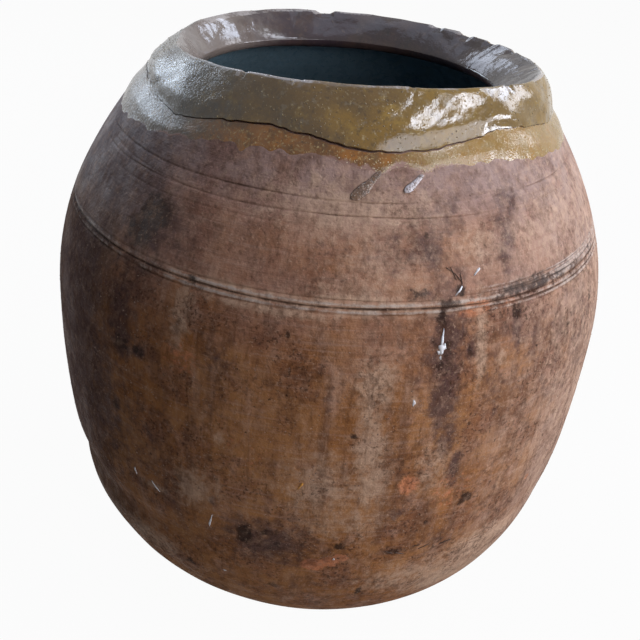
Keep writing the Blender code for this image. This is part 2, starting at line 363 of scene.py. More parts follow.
# Profiles: each is a closed run of (radius, height, face), where face is 1 on what shows outside

def wall_stations(top, bottom):
    """Heights down a wall, close together where lines are cut."""
    heights = list(np.linspace(top, bottom, 1 + round((top - bottom) / FINE)))
    marks = [(height, width) for height, depth, width in INCISED_LINES]
    marks.append((LOWER_TOP, SEAM_CUT_WIDTH))
    marks += [((low + high) / 2, (high - low) / (2 * LINE_REACH)) for low, high in SCRATCHED]
    for height, width in marks:
        near = np.arange(height - LINE_REACH * width, height + LINE_REACH * width, LINE_STEP)
        heights = [z for z in heights if abs(z - height) > LINE_CLEAR * width]
        heights += [z for z in near if bottom < z < top]
    return sorted(set(heights) | {top, bottom}, reverse=True)


def inner_stations(bottom, top):
    """Heights up the inside of a wall, where nothing fine shows."""
    return np.linspace(bottom, top, 1 + round((top - bottom) / COARSE))


def wall_profile(bottom, top):
    """One ring of wall: down the outside and up the inside, with flat ends."""
    outside = [(wall_radius(z), z, 1.0) for z in wall_stations(top, bottom)]
    inside = [(lining_radius(z), z, 0.0) for z in inner_stations(bottom, top)]
    return outside + inside


def base_profile():
    """The foot: a flat disc whose side already flares like the wall above it."""
    side = [(wall_radius(z), z, 1.0) for z in np.linspace(BASE_TOP, FOOT_CHAMFER, FOOT_SIDE_POINTS)]
    edge = [(FOOT_RADIUS - FOOT_CHAMFER / 3, FOOT_CHAMFER / 3, 1.0)]
    flat = np.linspace(FOOT_RADIUS - FOOT_CHAMFER, 0.0, FOOT_UNDER_POINTS)
    under = [(r, 0.0, 0.0) for r in flat]
    return [(0.0, BASE_TOP, 0.0)] + side + edge + under


def collar_face():
    """Down the collar's outer face, from the lip to the edge over the crack."""
    edge_radius = NECK_RADIUS + COLLAR_OVERHANG
    edge_z = NECK + CRACK_OPENING
    return bezier(
        (LIP_RADIUS, TOP),
        (LIP_RADIUS + LIP_ROUND_OUT, TOP),
        (edge_radius - COLLAR_LEAN, edge_z + COLLAR_SIDE),
        (edge_radius, edge_z),
        COLLAR_POINTS,
    )


def funnel_face():
    """Up round the throat's edge and out along the funnel to the lip."""
    throat_z = NECK + THROAT_RISE
    bottom = throat_z - THROAT_EDGE
    turn = np.radians(np.linspace(90, 0, THROAT_POINTS))
    edge = np.column_stack([
        THROAT_RADIUS + THROAT_ROUND * (1 - np.cos(turn)),
        bottom + THROAT_ROUND * (1 - np.sin(turn)),
    ])
    funnel = bezier(
        (THROAT_RADIUS, throat_z),
        (THROAT_RADIUS, throat_z + FUNNEL_PULL),
        (LIP_RADIUS - LIP_ROUND_IN, TOP - LIP_DROP_IN),
        (LIP_RADIUS, TOP),
        FUNNEL_POINTS,
    )
    return np.vstack([edge, funnel])


def rim_profile():
    """The collar's ring: outer face, the tucked-in edge over the crack, the underside and the funnel."""
    face = [(r, z, 1.0) for r, z in collar_face()]
    tucked = [(NECK_RADIUS - CRACK_DEPTH, NECK, 0.0), (lining_radius(NECK), NECK, 0.0)]
    funnel = [(r, z, 0.0) for r, z in funnel_face()]
    return face + tucked + funnel[:-1]


def lip_mitre():
    """Direction in which the coats of collar and funnel meet at the lip: halfway between their own."""
    funnel = np.array([-LIP_DROP_IN, LIP_ROUND_IN])
    both = funnel / np.linalg.norm(funnel) + np.array([0.0, 1.0])
    return both / np.linalg.norm(both)


def coat_profile(run, thickness, gap=GLAZE_GAP, lip=None):
    """A glaze shell on a run of clay points; thickness and gap may differ along the run.

    lip is the index of the point that lies on the lip, where two coats meet.
    """
    points = np.array(run)
    along = np.diff(points, axis=0)
    along /= np.linalg.norm(along, axis=1)[:, None]
    square = np.column_stack([-along[:, 1], along[:, 0]])
    mitre = np.vstack([square[:1], square]) + np.vstack([square, square[-1:]])
    mitre /= np.linalg.norm(mitre, axis=1)[:, None]
    if lip is not None:
        mitre[lip] = lip_mitre()
    depth = np.broadcast_to(thickness, len(points))[:, None]
    clear = np.broadcast_to(gap, len(points))[:, None]
    far = points + (clear + depth) * mitre
    near = points + clear * mitre
    return [(r, z, 1.0) for r, z in far] + [(r, z, 0.0) for r, z in near[::-1]]


def fringe_profile():
    """A band below the crack that thins out to nothing at its lower edge, where it sinks into the clay."""
    heights = np.linspace(GLAZE_TOP, NECK - GLAZE_FRONT_DROP, FRINGE_POINTS)
    share = smooth(np.linspace(1, 0, FRINGE_POINTS), 0.0, 0.5)
    gap = GLAZE_GAP * share - FRINGE_SINK * (1 - share)
    return coat_profile([(wall_radius(z), z) for z in heights], FRINGE_EDGE + GLAZE * share, gap)


def lining_profile():
    """The inside coat: floor, walls and a stop below the collar, closed over the axis."""
    corner = lining_radius(BASE_TOP) - LINING_CORNER_IN
    floor = [(r, BASE_TOP) for r in np.linspace(0.0, corner, FLOOR_POINTS)]
    walls = [(lining_radius(z), z) for z in inner_stations(BASE_TOP + LINING_CORNER_UP, NECK)]
    loop = coat_profile(floor + walls, GLAZE)
    last = len(loop) - 1
    return [(0.0 if index in (0, last) else r, z, face) for index, (r, z, face) in enumerate(loop)]


# Where the hands left each point

def front_angle(points):
    """Angle round the jar from its front, growing to the right."""
    return np.arctan2(points[:, 0], -points[:, 1])


def incised(angle, z):
    """Depth of the incised lines, each drawn by hand: a little unsteady in height and pressure."""
    depth = np.zeros_like(z)
    for index, (height, deep, width) in enumerate(INCISED_LINES):
        drift = LINE_WANDER * ripple(angle, LINE_WANDER_COUNTS, 1 + index)
        press = LINE_PRESS + LINE_PRESS_SWING * ripple(angle, LINE_PRESS_COUNTS, 2 + index)
        depth += deep * press * groove(z - height - drift, width)
    degrees = np.degrees(angle)
    for height, climb, deep, first, last in SCRATCHES:
        present = window(degrees, first, first + SCRATCH_FADE, last - SCRATCH_FADE, last)
        drift = SCRATCH_WANDER * ripple(angle, SCRATCH_WANDER_COUNTS, first)
        level = height + climb * (degrees - first) + drift
        depth += deep * present * groove(z - level, SCRATCH_WIDTH)
    return depth


def luted_seam(angle, z):
    """How far the wall is pressed in along the lower seam, less where it bulges below, with its open line."""
    facing = np.clip(np.cos(angle - SEAM_PRESS_ANGLE), 0, 1)
    strength = SEAM_PRESS_LEAST + (1 - SEAM_PRESS_LEAST) * facing**SEAM_PRESS_NARROWING
    above = (z - LOWER_TOP - SEAM_PRESS_RISE - waves(angle, SEAM_WAVES)) / SEAM_PRESS_HEIGHT
    below = (z - LOWER_TOP + SEAM_BULGE_DROP) / SEAM_PRESS_HEIGHT
    pressed = strength * (SEAM_PRESS * bell(above) - SEAM_BULGE * bell(below))
    open_share = np.clip(SEAM_OPEN_MEAN + waves(angle, SEAM_OPEN_WAVES), 0, 1)
    return pressed + SEAM_CUT * open_share * groove(z - LOWER_TOP, SEAM_CUT_WIDTH)


def lip_chip(angle, z):
    """How far the lip is broken away."""
    loss = np.zeros_like(z)
    degrees = np.degrees(angle)
    for middle, half, depth in LIP_CHIPS:
        away = np.degrees(turn_from(angle, math.radians(middle))) / half
        jag = 1 + CHIP_JAG * np.sin(CHIP_JAGS_PER_DEGREE * degrees + middle)
        loss = np.maximum(loss, depth * np.clip(CHIP_FLATNESS * (1 - away**2) * jag, 0, 1))
    return loss * smooth(z, TOP - CHIP_REACH, TOP)


def crack_shut(angle, z):
    """How far the collar's lower edge is smeared down on the shoulder, as a share."""
    left = smooth(-angle, -CRACK_SHUT_FROM, -CRACK_SHUT_FULL)
    elsewhere = CRACK_SHUT_MEAN + waves(angle, CRACK_SHUT_WAVES)
    share = np.maximum(left, np.clip(elsewhere, CRACK_SHUT_LEAST, CRACK_SHUT_MOST))
    low = 1 - smooth(z, NECK + CRACK_OPENING, NECK + CRACK_SHUT_REACH)
    return share * low * (z > NECK + CRACK_OPENING / 2)


def rim_level(angle):
    """How far the tilt and the sag lift the lip."""
    return RIM_TILT * np.cos(angle) + RIM_SAG * np.cos(2 * angle)


def hand_made(points):
    """Moves points of the true turned jar to where the potter's hands left them."""
    x, y, z = points.T
    radius = np.hypot(x, y)
    safe = np.maximum(radius, 1e-9)
    angle = front_angle(points)
    outside = ramp(radius, THROAT_RADIUS, lining_radius(z))
    seam = ramp(z, NECK - PRESS_REACH, NECK - KEY_DEPTH) - ramp(z, NECK + CRACK_OPENING, TOP)
    rim = ramp(z, NECK, TOP)
    shut = crack_shut(angle, z) * outside
    pressed = waves(angle, COLLAR_EDGE_WAVES) - PRESS_RISE * np.cos(PRESS_COUNT * (angle - PRESS_PHASE))
    rise = pressed * seam * outside

    pushed = radius + wall_radius(z + rise) - wall_radius(z)
    for slant, lumps in COLLAR_LUMPS:
        pushed += smooth(z, *LUMPY_LEVELS) * outside * waves(angle + slant * z, lumps)
    pushed -= CRACK_SMEAR_IN * shut
    pushed -= SIDE_PINCH * np.sin(angle) ** 2 * window(z, *PINCHED_LEVELS) * outside
    pushed -= rim * (RIM_OVAL * np.cos(2 * angle) + RIM_LOBE * np.sin(3 * angle))

    lifted = z + rise + rim * (rim_level(angle) + waves(angle, LIP_WAVES))
    lifted += RIM_LIFT * rim * bell(turn_from(angle, RIM_LIFT_ANGLE) / RIM_LIFT_WIDTH)
    lifted -= lip_chip(angle, z) + CRACK_OPENING * shut
    return np.column_stack([x * pushed / safe + RIM_SHIFT * rim, y * pushed / safe, lifted])


def fringe_drop(angle):
    """How far the shoulder glaze ran down: lower at both sides, with a ragged edge and a few tongues."""
    drop = GLAZE_FRONT_DROP + GLAZE_SIDE_DROP * (1 - np.cos(2 * angle)) / 2
    drop += waves(angle, FRINGE_WAVES)
    for degrees, half, length in GLAZE_TONGUES:
        drop += length * bell((np.degrees(angle) - degrees) / half)
    return np.maximum(drop, GLAZE_LEAST_DROP)


def draw_down(points):
    """Lets the lower edge of the shoulder glaze hang as far as the glaze ran."""
    x, y, z = points.T
    lower = GLAZE_TOP - (GLAZE_TOP - z) * fringe_drop(front_angle(points)) / GLAZE_FRONT_DROP
    radius = np.hypot(x, y)
    slid = (radius + wall_radius(lower) - wall_radius(z)) / radius
    return np.column_stack([x * slid, y * slid, lower])


# Node trees

def add(tree, kind, inputs=None, **settings):
    """Adds a node, sets its options, and fills its inputs with values, nodes or sockets."""
    made = tree.nodes.new(kind)
    for name, value in settings.items():
        setattr(made, name, value)
    for key, value in (inputs or {}).items():
        if isinstance(value, bpy.types.Node):
            tree.links.new(value.outputs[0], made.inputs[key])
        elif isinstance(value, bpy.types.NodeSocket):
            tree.links.new(value, made.inputs[key])
        else:
            made.inputs[key].default_value = value
    return made


def new_tree(name, **sizes):
    """A geometry tree with a mesh in and out and named inputs, listed by their kind."""
    tree = bpy.data.node_groups.new(name, "GeometryNodeTree")
    tree.is_modifier = True
    tree.interface.new_socket("Geometry", in_out="OUTPUT", socket_type="NodeSocketGeometry")
    tree.interface.new_socket("Geometry", in_out="INPUT", socket_type="NodeSocketGeometry")
    for kind, labels in sizes.items():
        for label in labels:
            tree.interface.new_socket(label, in_out="INPUT", socket_type="NodeSocket" + kind)
    return tree, tree.nodes.new("NodeGroupInput").outputs


def close_tree(tree, geometry, material):
    """Ends a geometry tree in real meshes of one material."""
    real = add(tree, "GeometryNodeRealizeInstances", {"Geometry": geometry})
    looks = add(tree, "GeometryNodeSetMaterial", {"Geometry": real, "Material": material})
    add(tree, "NodeGroupOutput", {0: looks})


def throwing_tree():
    """Turns a profile round the axis and leaves the fine ridges and the slow wobble of throwing."""
    tree, size = new_tree(
        "thrown_on_the_wheel",
        Int=("Segments",),
        Float=("Path Radius", "Ridge Height", "Ridge Length", "Ridge Depth", "Wobble Size", "Wobble Depth"),
        Material=("Material",),
    )
    section = add(tree, "GeometryNodeMeshToCurve", {"Mesh": size["Geometry"]})
    circle = {"Resolution": size["Segments"], "Radius": size["Path Radius"]}
    path = add(tree, "GeometryNodeCurvePrimitiveCircle", circle, mode="RADIUS")
    turned = add(tree, "GeometryNodeCurveToMesh", {"Curve": path, "Profile Curve": section})
    closed = add(tree, "GeometryNodeMergeByDistance", {"Geometry": turned, "Distance": MERGE_TURNED})
    place = add(tree, "GeometryNodeInputPosition")
    flat = add(tree, "ShaderNodeVectorMath", {0: place, 1: (1.0, 1.0, 0.0)}, operation="MULTIPLY")
    outward = add(tree, "ShaderNodeVectorMath", {0: flat}, operation="NORMALIZE")
    ridge = {"X": size["Ridge Length"], "Y": size["Ridge Length"], "Z": size["Ridge Height"]}
    stretch = add(tree, "ShaderNodeCombineXYZ", ridge)
    patterns = (
        (stretch, 3.0, "Ridge Depth"),
        (size["Wobble Size"], 1.0, "Wobble Depth"),
    )
    moves = []
    for length, detail, depth in patterns:
        drawn = add(tree, "ShaderNodeVectorMath", {0: place, 1: length}, operation="DIVIDE")
        noise = add(tree, "ShaderNodeTexNoise", {"Vector": drawn, "Scale": 1.0, "Detail": detail})
        centred = add(tree, "ShaderNodeMath", {0: noise, 1: 0.5}, operation="SUBTRACT")
        moves.append(add(tree, "ShaderNodeMath", {0: centred, 1: size[depth]}, operation="MULTIPLY"))
    move = add(tree, "ShaderNodeMath", {0: moves[0], 1: moves[1]}, operation="ADD")
    offset = add(tree, "ShaderNodeVectorMath", {0: outward, "Scale": move}, operation="SCALE")
    shaped = add(tree, "GeometryNodeSetPosition", {"Geometry": closed, "Offset": offset})
    close_tree(tree, shaped, size["Material"])
    return tree


def grain_tree():
    """Scatters small flattened grains on the faces that show, each turned to lie on the surface."""
    tree, size = new_tree(
        "grains_on_a_surface",
        Float=("Density", "Least", "Most"),
        Int=("Seed",),
        Material=("Material",),
    )
    named = add(tree, "GeometryNodeInputNamedAttribute", {"Name": "grain"}, data_type="FLOAT")
    shown = named.outputs["Attribute"]
    dense = add(tree, "ShaderNodeMath", {0: shown, 1: size["Density"]}, operation="MULTIPLY")
    ground = {"Mesh": size["Geometry"], "Density": dense, "Seed": size["Seed"]}
    spread = add(tree, "GeometryNodeDistributePointsOnFaces", ground).outputs
    bead = add(tree, "GeometryNodeMeshIcoSphere", {"Radius": 1.0, "Subdivisions": 1})
    between = {2: size["Least"], 3: size["Most"], "Seed": size["Seed"]}
    scale = add(tree, "FunctionNodeRandomValue", between, data_type="FLOAT").outputs[1]
    squat = add(tree, "ShaderNodeVectorMath", {0: GRAIN_SHAPE, "Scale": scale}, operation="SCALE")
    laid = add(
        tree,
        "GeometryNodeInstanceOnPoints",
        {"Points": spread["Points"], "Instance": bead, "Rotation": spread["Rotation"], "Scale": squat},
    )
    close_tree(tree, laid, size["Material"])
    return tree


THROWING = throwing_tree()
GRAINS = grain_tree()


# Building a piece

def put_in_scene(name, data):
    """An object in the scene, at the origin."""
    made = bpy.data.objects.new(name, data)
    bpy.context.scene.collection.objects.link(made)
    return made


def run_tree(name, start, tree, values):
    """Runs a tree with its named inputs set on a mesh, and returns the plain mesh it makes."""
    holder = put_in_scene(name + "_start", start)
    modifier = holder.modifiers.new(tree.name, "NODES")
    modifier.node_group = tree
    for item in tree.interface.items_tree:
        if item.in_out == "INPUT" and item.name in values:
            modifier[item.identifier] = values[item.name]
    depsgraph = bpy.context.evaluated_depsgraph_get()
    mesh = bpy.data.meshes.new_from_object(holder.evaluated_get(depsgraph))
    holder.modifiers.remove(modifier)
    bpy.data.objects.remove(holder)
    mesh.name = name
    return mesh


def coordinates(mesh):
    """The places of a mesh's points."""
    flat = np.empty(len(mesh.vertices) * 3, np.float32)
    mesh.vertices.foreach_get("co", flat)
    return flat.reshape(-1, 3).astype(float)


def place_vertices(mesh, points):
    """Moves a mesh's points to new places."""
    mesh.vertices.foreach_set("co", points.astype(np.float32).ravel())
    mesh.update()


def values_of(mesh, name):
    """What is painted on each point under a name."""
    found = np.empty(len(mesh.vertices), np.float32)
    mesh.attributes[name].data.foreach_get("value", found)
    return found.astype(float)


def paint(mesh, name, values):
    """Paints a value on each point under a name, over what was there."""
    layer = mesh.attributes.get(name) or mesh.attributes.new(name, "FLOAT", "POINT")
    layer.data.foreach_set("value", np.asarray(values, np.float32))


def face_outwards(mesh):
    """Flips a closed mesh whose faces point in, told by the sign of its volume."""
    mesh.calc_loop_triangles()
    corners = np.empty(len(mesh.loop_triangles) * 3, np.int32)
    mesh.loop_triangles.foreach_get("vertices", corners)
    a, b, c = coordinates(mesh)[corners.reshape(-1, 3)].transpose(1, 0, 2)
    if np.einsum("ij,ij->i", a, np.cross(b, c)).sum() < 0:
        mesh.flip_normals()


def link(name, mesh, node):
    """Makes a finished mesh a piece of the jar; node is the solid that it stands for, if any."""
    piece = put_in_scene(name, mesh)
    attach(piece, "root")
    if node:
        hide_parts(node)


def throw(name, profile, material, shape):
    """Turns a profile with the throwing tree, then lets shape move its points; returns the mesh."""
    section = np.array(profile)
    count = len(section)
    outline = bpy.data.meshes.new(name + "_section")
    points = [(radius - PATH_RADIUS, -z, 0.0) for radius, z, face in profile]
    edges = [(index, index + 1) for index in range(count - 1)]
    if section[0, 0] > 0.0:
        edges.append((count - 1, 0))
    outline.from_pydata(points, edges, [])
    paint(outline, "face", section[:, 2])
    sizes = {
        "Segments": SEGMENTS,
        "Path Radius": PATH_RADIUS,
        "Ridge Height": THROWN_RIDGE_HEIGHT,
        "Ridge Length": THROWN_RIDGE_LENGTH,
        "Ridge Depth": THROWN_RIDGE_DEPTH,
        "Wobble Size": THROWN_WOBBLE_SIZE,
        "Wobble Depth": THROWN_WOBBLE_DEPTH,
        "Material": material,
    }
    mesh = run_tree(name, outline, THROWING, sizes)
    bpy.data.meshes.remove(outline)
    place_vertices(mesh, shape(coordinates(mesh), values_of(mesh, "face")))
    face_outwards(mesh)
    mesh.shade_smooth()
    mesh.set_sharp_from_angle(angle=SHARP_EDGE)
    return mesh


def clay_shape(points, face):
    """Cuts the lines and the seam into the outside of a wall, then bends it as the hands did."""
    x, y, z = points.T
    radius = np.hypot(x, y)
    angle = front_angle(points)
    cut = face * (incised(angle, z) + luted_seam(angle, z))
    share = (radius - cut) / np.maximum(radius, 1e-9)
    return hand_made(np.column_stack([x * share, y * share, z]))


def coat_shape(points, face):
    """Bends a coat, or clay with no lines in it, as the hands did."""
    return hand_made(points)


def fringe_shape(points, face):
    """Lets the fringe run down, then bends it as the hands did."""
    return hand_made(draw_down(points))


# Stains, with some painted shade and sheen among them, seen on the photographed side: angle in degrees,
# height, half width, half height, strength

SOOT = (
    (-38, 0.341, 0.014, 0.011, 1.35),
    (-40.5, 0.328, 0.012, 0.010, 1.35),
    (-39.5, 0.252, 0.012, 0.008, 0.9),
    (-34.5, 0.253, 0.008, 0.004, 0.9),
    (-41, 0.199, 0.006, 0.006, 1.0),
    (-25.5, 0.3125, 0.004, 0.004, 0.9),
    (-11.7, 0.128, 0.0048, 0.008, 1.9),
    (-7.5, 0.133, 0.011, 0.007, 0.75),
    (-5, 0.123, 0.008, 0.006, 0.8),
    (-6, 0.122, 0.028, 0.017, 0.56),
    (-25.5, 0.0735, 0.005, 0.005, 1.1),
    (-6, 0.0725, 0.007, 0.005, 0.9),
    (-6, 0.293, 0.0022, 0.0022, 1.3),
    (7, 0.126, 0.004, 0.0035, 1.3),
    (7, 0.226, 0.0035, 0.0022, 1.1),
    (13, 0.0715, 0.0032, 0.006, 1.2),
    (31.3, 0.1605, 0.0075, 0.007, 1.15),
    (17.2, 0.3195, 0.009, 0.005, 0.9),
    (19, 0.352, 0.003, 0.0025, 0.9),
    (21.2, 0.305, 0.004, 0.008, 1.1),
    (22.8, 0.3125, 0.010, 0.004, 1.0),
    (24.8, 0.3205, 0.006, 0.004, 0.9),
    (26.8, 0.2825, 0.004, 0.005, 0.9),
    (21.5, 0.275, 0.008, 0.008, 0.8),
    (22.5, 0.290, 0.014, 0.020, 0.66),
    (33.5, 0.312, 0.010, 0.005, 0.9),
    (38, 0.3150, 0.014, 0.006, 1.1),
    (43, 0.3155, 0.018, 0.006, 1.1),
    (50, 0.3135, 0.020, 0.005, 0.9),
    (58, 0.3135, 0.020, 0.005, 0.8),
    (68, 0.3130, 0.020, 0.005, 0.7),
    (37.8, 0.3025, 0.006, 0.007, 1.1),
    (31, 0.306, 0.004, 0.004, 0.9),
    (53, 0.277, 0.012, 0.013, 0.65),
    (57, 0.256, 0.006, 0.006, 0.7),
    (64.5, 0.2835, 0.004, 0.007, 0.9),
    (23.5, 0.1445, 0.002, 0.0025, 1.2),
    (21.8, 0.169, 0.003, 0.002, 0.9),
    (18.5, 0.118, 0.010, 0.0035, 1.0),
    (23.8, 0.1205, 0.010, 0.003, 0.7),
    (33, 0.1105, 0.018, 0.007, 0.62),
    (40.8, 0.1045, 0.020, 0.008, 0.6),
)
# Umber stains, and broad painted shade on the left, the side away from the lamps
UMBER_AND_SHADE = (
    (39, 0.366, 0.012, 0.009, 0.9),
    (37, 0.353, 0.008, 0.016, 0.8),
    (36, 0.337, 0.006, 0.016, 0.8),
    (19, 0.346, 0.013, 0.014, 0.9),
    (24.5, 0.331, 0.008, 0.012, 0.6),
    (22.5, 0.296, 0.012, 0.016, 1.1),
    (22, 0.276, 0.013, 0.014, 1.1),
    (27, 0.282, 0.005, 0.008, 1.0),
    (22.3, 0.252, 0.010, 0.026, 1.15),
    (24.5, 0.219, 0.008, 0.016, 1.0),
    (27.2, 0.192, 0.0055, 0.016, 1.0),
    (37.3, 0.290, 0.005, 0.020, 0.9),
    (33.5, 0.245, 0.005, 0.022, 0.6),
    (17.5, 0.260, 0.006, 0.022, 0.6),
    (17, 0.156, 0.010, 0.018, 0.6),
    (-40, 0.275, 0.014, 0.030, 1.0),
    (-39, 0.253, 0.012, 0.014, 1.1),
    (-34.5, 0.253, 0.010, 0.006, 1.0),
    (-41, 0.200, 0.006, 0.008, 1.1),
    # These five broad patches lie on the left, the side away from the lamps: painted shade with some smoke
    # stain
    (-59, 0.225, 0.055, 0.120, 1.1),
    (-72, 0.260, 0.045, 0.050, 0.7),
    (-76, 0.175, 0.055, 0.070, 0.6),
    (-92, 0.215, 0.040, 0.060, 0.5),
    (-46, 0.190, 0.025, 0.050, 0.9),
    (-46, 0.360, 0.040, 0.030, 0.7),
    (-39, 0.334, 0.030, 0.024, 0.95),
    (-39, 0.312, 0.025, 0.018, 0.8),
    # A broad patch of painted shade on the left, with some smoke stain
    (-36, 0.175, 0.050, 0.060, 0.5),
    (-18.2, 0.151, 0.003, 0.006, 0.9),
    (-6.8, 0.1665, 0.003, 0.006, 0.7),
    (-17, 0.262, 0.016, 0.020, 0.5),
    (-4, 0.105, 0.018, 0.012, 0.6),
    (4, 0.085, 0.030, 0.010, 0.5),
    (53, 0.244, 0.018, 0.009, 0.5),
    (45, 0.275, 0.060, 0.030, 0.55),
    (50, 0.235, 0.050, 0.030, 0.45),
    (33, 0.262, 0.030, 0.024, 0.45),
    (60, 0.275, 0.034, 0.050, 0.65),
    (33.5, 0.286, 0.014, 0.020, 0.6),
    (20.8, 0.322, 0.018, 0.012, 0.7),
    (23, 0.362, 0.022, 0.012, 0.6),
    (8, 0.345, 0.030, 0.020, 0.5),
    (-7, 0.124, 0.032, 0.022, 0.95),
    (28, 0.127, 0.022, 0.014, 0.5),
)
# Pale dust; the patch at 48 degrees low down is a painted highlight, and the broad one at 80 degrees a
# painted sheen with some dust
DUST_AND_SHEEN = (
    (9.5, 0.240, 0.009, 0.020, 0.9),
    (10, 0.214, 0.011, 0.026, 1.1),
    (11, 0.186, 0.012, 0.020, 1.1),
    (10, 0.150, 0.022, 0.020, 0.7),
    (29.2, 0.288, 0.0042, 0.030, 1.2),
    (34.2, 0.2725, 0.007, 0.006, 0.8),
    (22.5, 0.1955, 0.012, 0.022, 0.8),
    (16.8, 0.2505, 0.003, 0.004, 1.0),
    (43.5, 0.067, 0.050, 0.020, 1.0),
    (26, 0.082, 0.052, 0.018, 0.9),
    # A painted highlight low on the right
    (48, 0.095, 0.030, 0.014, 1.0),
    (30, 0.095, 0.030, 0.020, 0.6),
    (3, 0.155, 0.025, 0.030, 0.6),
    (2, 0.182, 0.030, 0.030, 0.8),
    (34, 0.068, 0.034, 0.020, 1.2),
    (-37, 0.078, 0.030, 0.018, 0.9),
    (4, 0.366, 0.060, 0.016, 0.9),
    (3, 0.318, 0.040, 0.010, 0.7),
    (10, 0.262, 0.014, 0.022, 1.0),
    (41, 0.095, 0.034, 0.020, 1.2),
    (10, 0.335, 0.040, 0.020, 0.6),
    (30, 0.345, 0.022, 0.014, 0.7),
    (45, 0.345, 0.030, 0.020, 0.6),
    (56, 0.350, 0.060, 0.030, 0.6),
    # A broad painted sheen over the lit right side, with some dust
    (80, 0.220, 0.150, 0.230, 0.7),
    (-2, 0.312, 0.130, 0.006, 0.9),
    (5, 0.3175, 0.030, 0.0025, 1.1),
    (-9, 0.3060, 0.045, 0.0030, 1.0),
    (-18, 0.3150, 0.030, 0.0030, 0.9),
    (-22.5, 0.1605, 0.016, 0.018, 1.0),
    (-17.2, 0.1655, 0.004, 0.010, 0.9),
    (-17, 0.2095, 0.004, 0.007, 1.0),
    (-26, 0.290, 0.008, 0.022, 0.9),
    (-31.5, 0.1435, 0.012, 0.004, 0.8),
    (-4.5, 0.378, 0.005, 0.006, 1.0),
    (-6.5, 0.3715, 0.008, 0.0015, 1.0),
    (12, 0.3595, 0.010, 0.0015, 1.1),
    (2, 0.360, 0.018, 0.003, 0.8),
)
BARE = (
    (2.2, 0.105, 0.0060, 0.0045, 2.2),
    (5.6, 0.109, 0.0050, 0.004, 2.2),
    (7.4, 0.1135, 0.004, 0.003, 2.2),
    (28.5, 0.309, 0.008, 0.004, 1.6),
    (26.5, 0.3065, 0.006, 0.003, 1.2),
    (36, 0.309, 0.004, 0.002, 1.2),
    (18.2, 0.183, 0.008, 0.009, 0.9),
    (50, 0.150, 0.003, 0.003, 1.0),
    (-25, 0.262, 0.020, 0.016, 0.6),
    (27, 0.170, 0.030, 0.035, 0.5),
    (-12, 0.200, 0.050, 0.060, 0.4),
)
# How slowly a stain fades out past its half width and height
STAIN_SOFTNESS = 1.6

# Splashes and rootlets dried on the wall: angle in degrees, height, half width, half length, lean in degrees
LIME_MARKS = (
    (21.2, 0.2862, 0.0022, 0.0032, -8),
    (20.6, 0.2842, 0.0008, 0.0013, 20),
    (21.7, 0.2885, 0.0007, 0.0011, -30),
    (21.9, 0.2866, 0.0004, 0.0007, 10),
    (21.3, 0.2925, 0.0008, 0.0050, -5),
    (21.0, 0.2805, 0.0006, 0.0012, 5),
    (29.0, 0.3305, 0.0006, 0.0032, -52),
    (24.8, 0.3205, 0.0005, 0.0036, -48),
    (16.8, 0.2505, 0.0010, 0.0022, 0),
    (6.2, 0.1125, 0.0008, 0.0009, 0),
    (-18.8, 0.1315, 0.0007, 0.0058, -13),
    (-31.5, 0.1435, 0.0007, 0.0045, 45),
    (-36.8, 0.148, 0.0005, 0.0030, 20),
    (-16.8, 0.078, 0.0014, 0.0008, 0),
)
OCHRE_MARKS = ((-1.5, 0.182, 0.0007, 0.0036, -28),)
ROOTLET_MARKS = (
    (22.9, 0.3335, 0.0002, 0.0026, 58),
    (23.8, 0.3310, 0.0002, 0.0040, 24),
    (24.7, 0.3285, 0.0002, 0.0034, 40),
    (25.4, 0.3270, 0.0002, 0.0030, 8),
    (17.5, 0.1170, 0.0003, 0.0034, 62),
    (19.5, 0.1150, 0.0004, 0.0040, 66),
    (25.0, 0.1180, 0.0003, 0.0045, -70),
    (30.0, 0.1170, 0.0003, 0.0050, -78),
)

# Pale ridges that the tool turned up beside the band's lines, coloured as chalky dust with a painted
# highlight along them: heights over the seam, all round and at the right
BAND_RIDGES = (-0.0021, 0.0022)
BAND_RIDGE_WIDTH = 0.0012
BAND_RIDGES_RIGHT = (-0.0050, 0.0046, 0.0066, 0.0090)
BAND_RIDGE_RIGHT_WIDTH = 0.0011
RIDGE_RUB_MEAN = 0.75

# How much painted shade darkens the cut lines: depth from which they are quite dark, and where they are
# fainter and by how much
DARK_LINE = 0.0008
UPPER_LEVELS = (BELLY_TOP + 0.02, BELLY_TOP + 0.03)
UPPER_FAINT = 0.25
UPPER_FAINT_RIGHT = 0.30
UPPER_RIGHT = (15, 45)
BAND_FAINT = 0.55
BAND_FRONT = (20, 50)
BAND_OUTER = (0.0015, 0.0030)

# Broad tints, among them painted shade, painted sheen and painted sky light: the heights between which each
# comes in, and the degrees between which it comes in and goes out, counted to the left for the painted sheen,
# the ash and the painted shade and to the right for the others
BLUSH_LEVELS = ((0.235, 0.320), (0.345, 0.385))
GREY_TOP_LEVELS = (0.340, 0.385)
SHEEN_LEVELS = (0.310, 0.350)
PAINTED_SHADE_LEVELS = (0.310, 0.375)
SKY_LIGHT_LEVELS = (0.240, 0.370)
HAZE_AND_SHEEN_TURN = (8, 70, 95, 165)
SHEEN_TURN = (22, 60, 100, 150)
PAINTED_SHADE_TURN = (32, 62, 100, 150)
RIDGE_TURN = (20, 40, 80, 100)
GLAZE_ASH_AND_SHEEN_TURN = (12, 50, 115, 170)
GLAZE_POOL_TURN = (0, 25, 90, 140)
CRYSTAL_TURN = (-8, 12, 45, 70)
# The kiln's smoke lies on the back, this far round from the middle of the clean side
CLEAN_SIDE = 20
SMOKE_TURN = (90, 150)

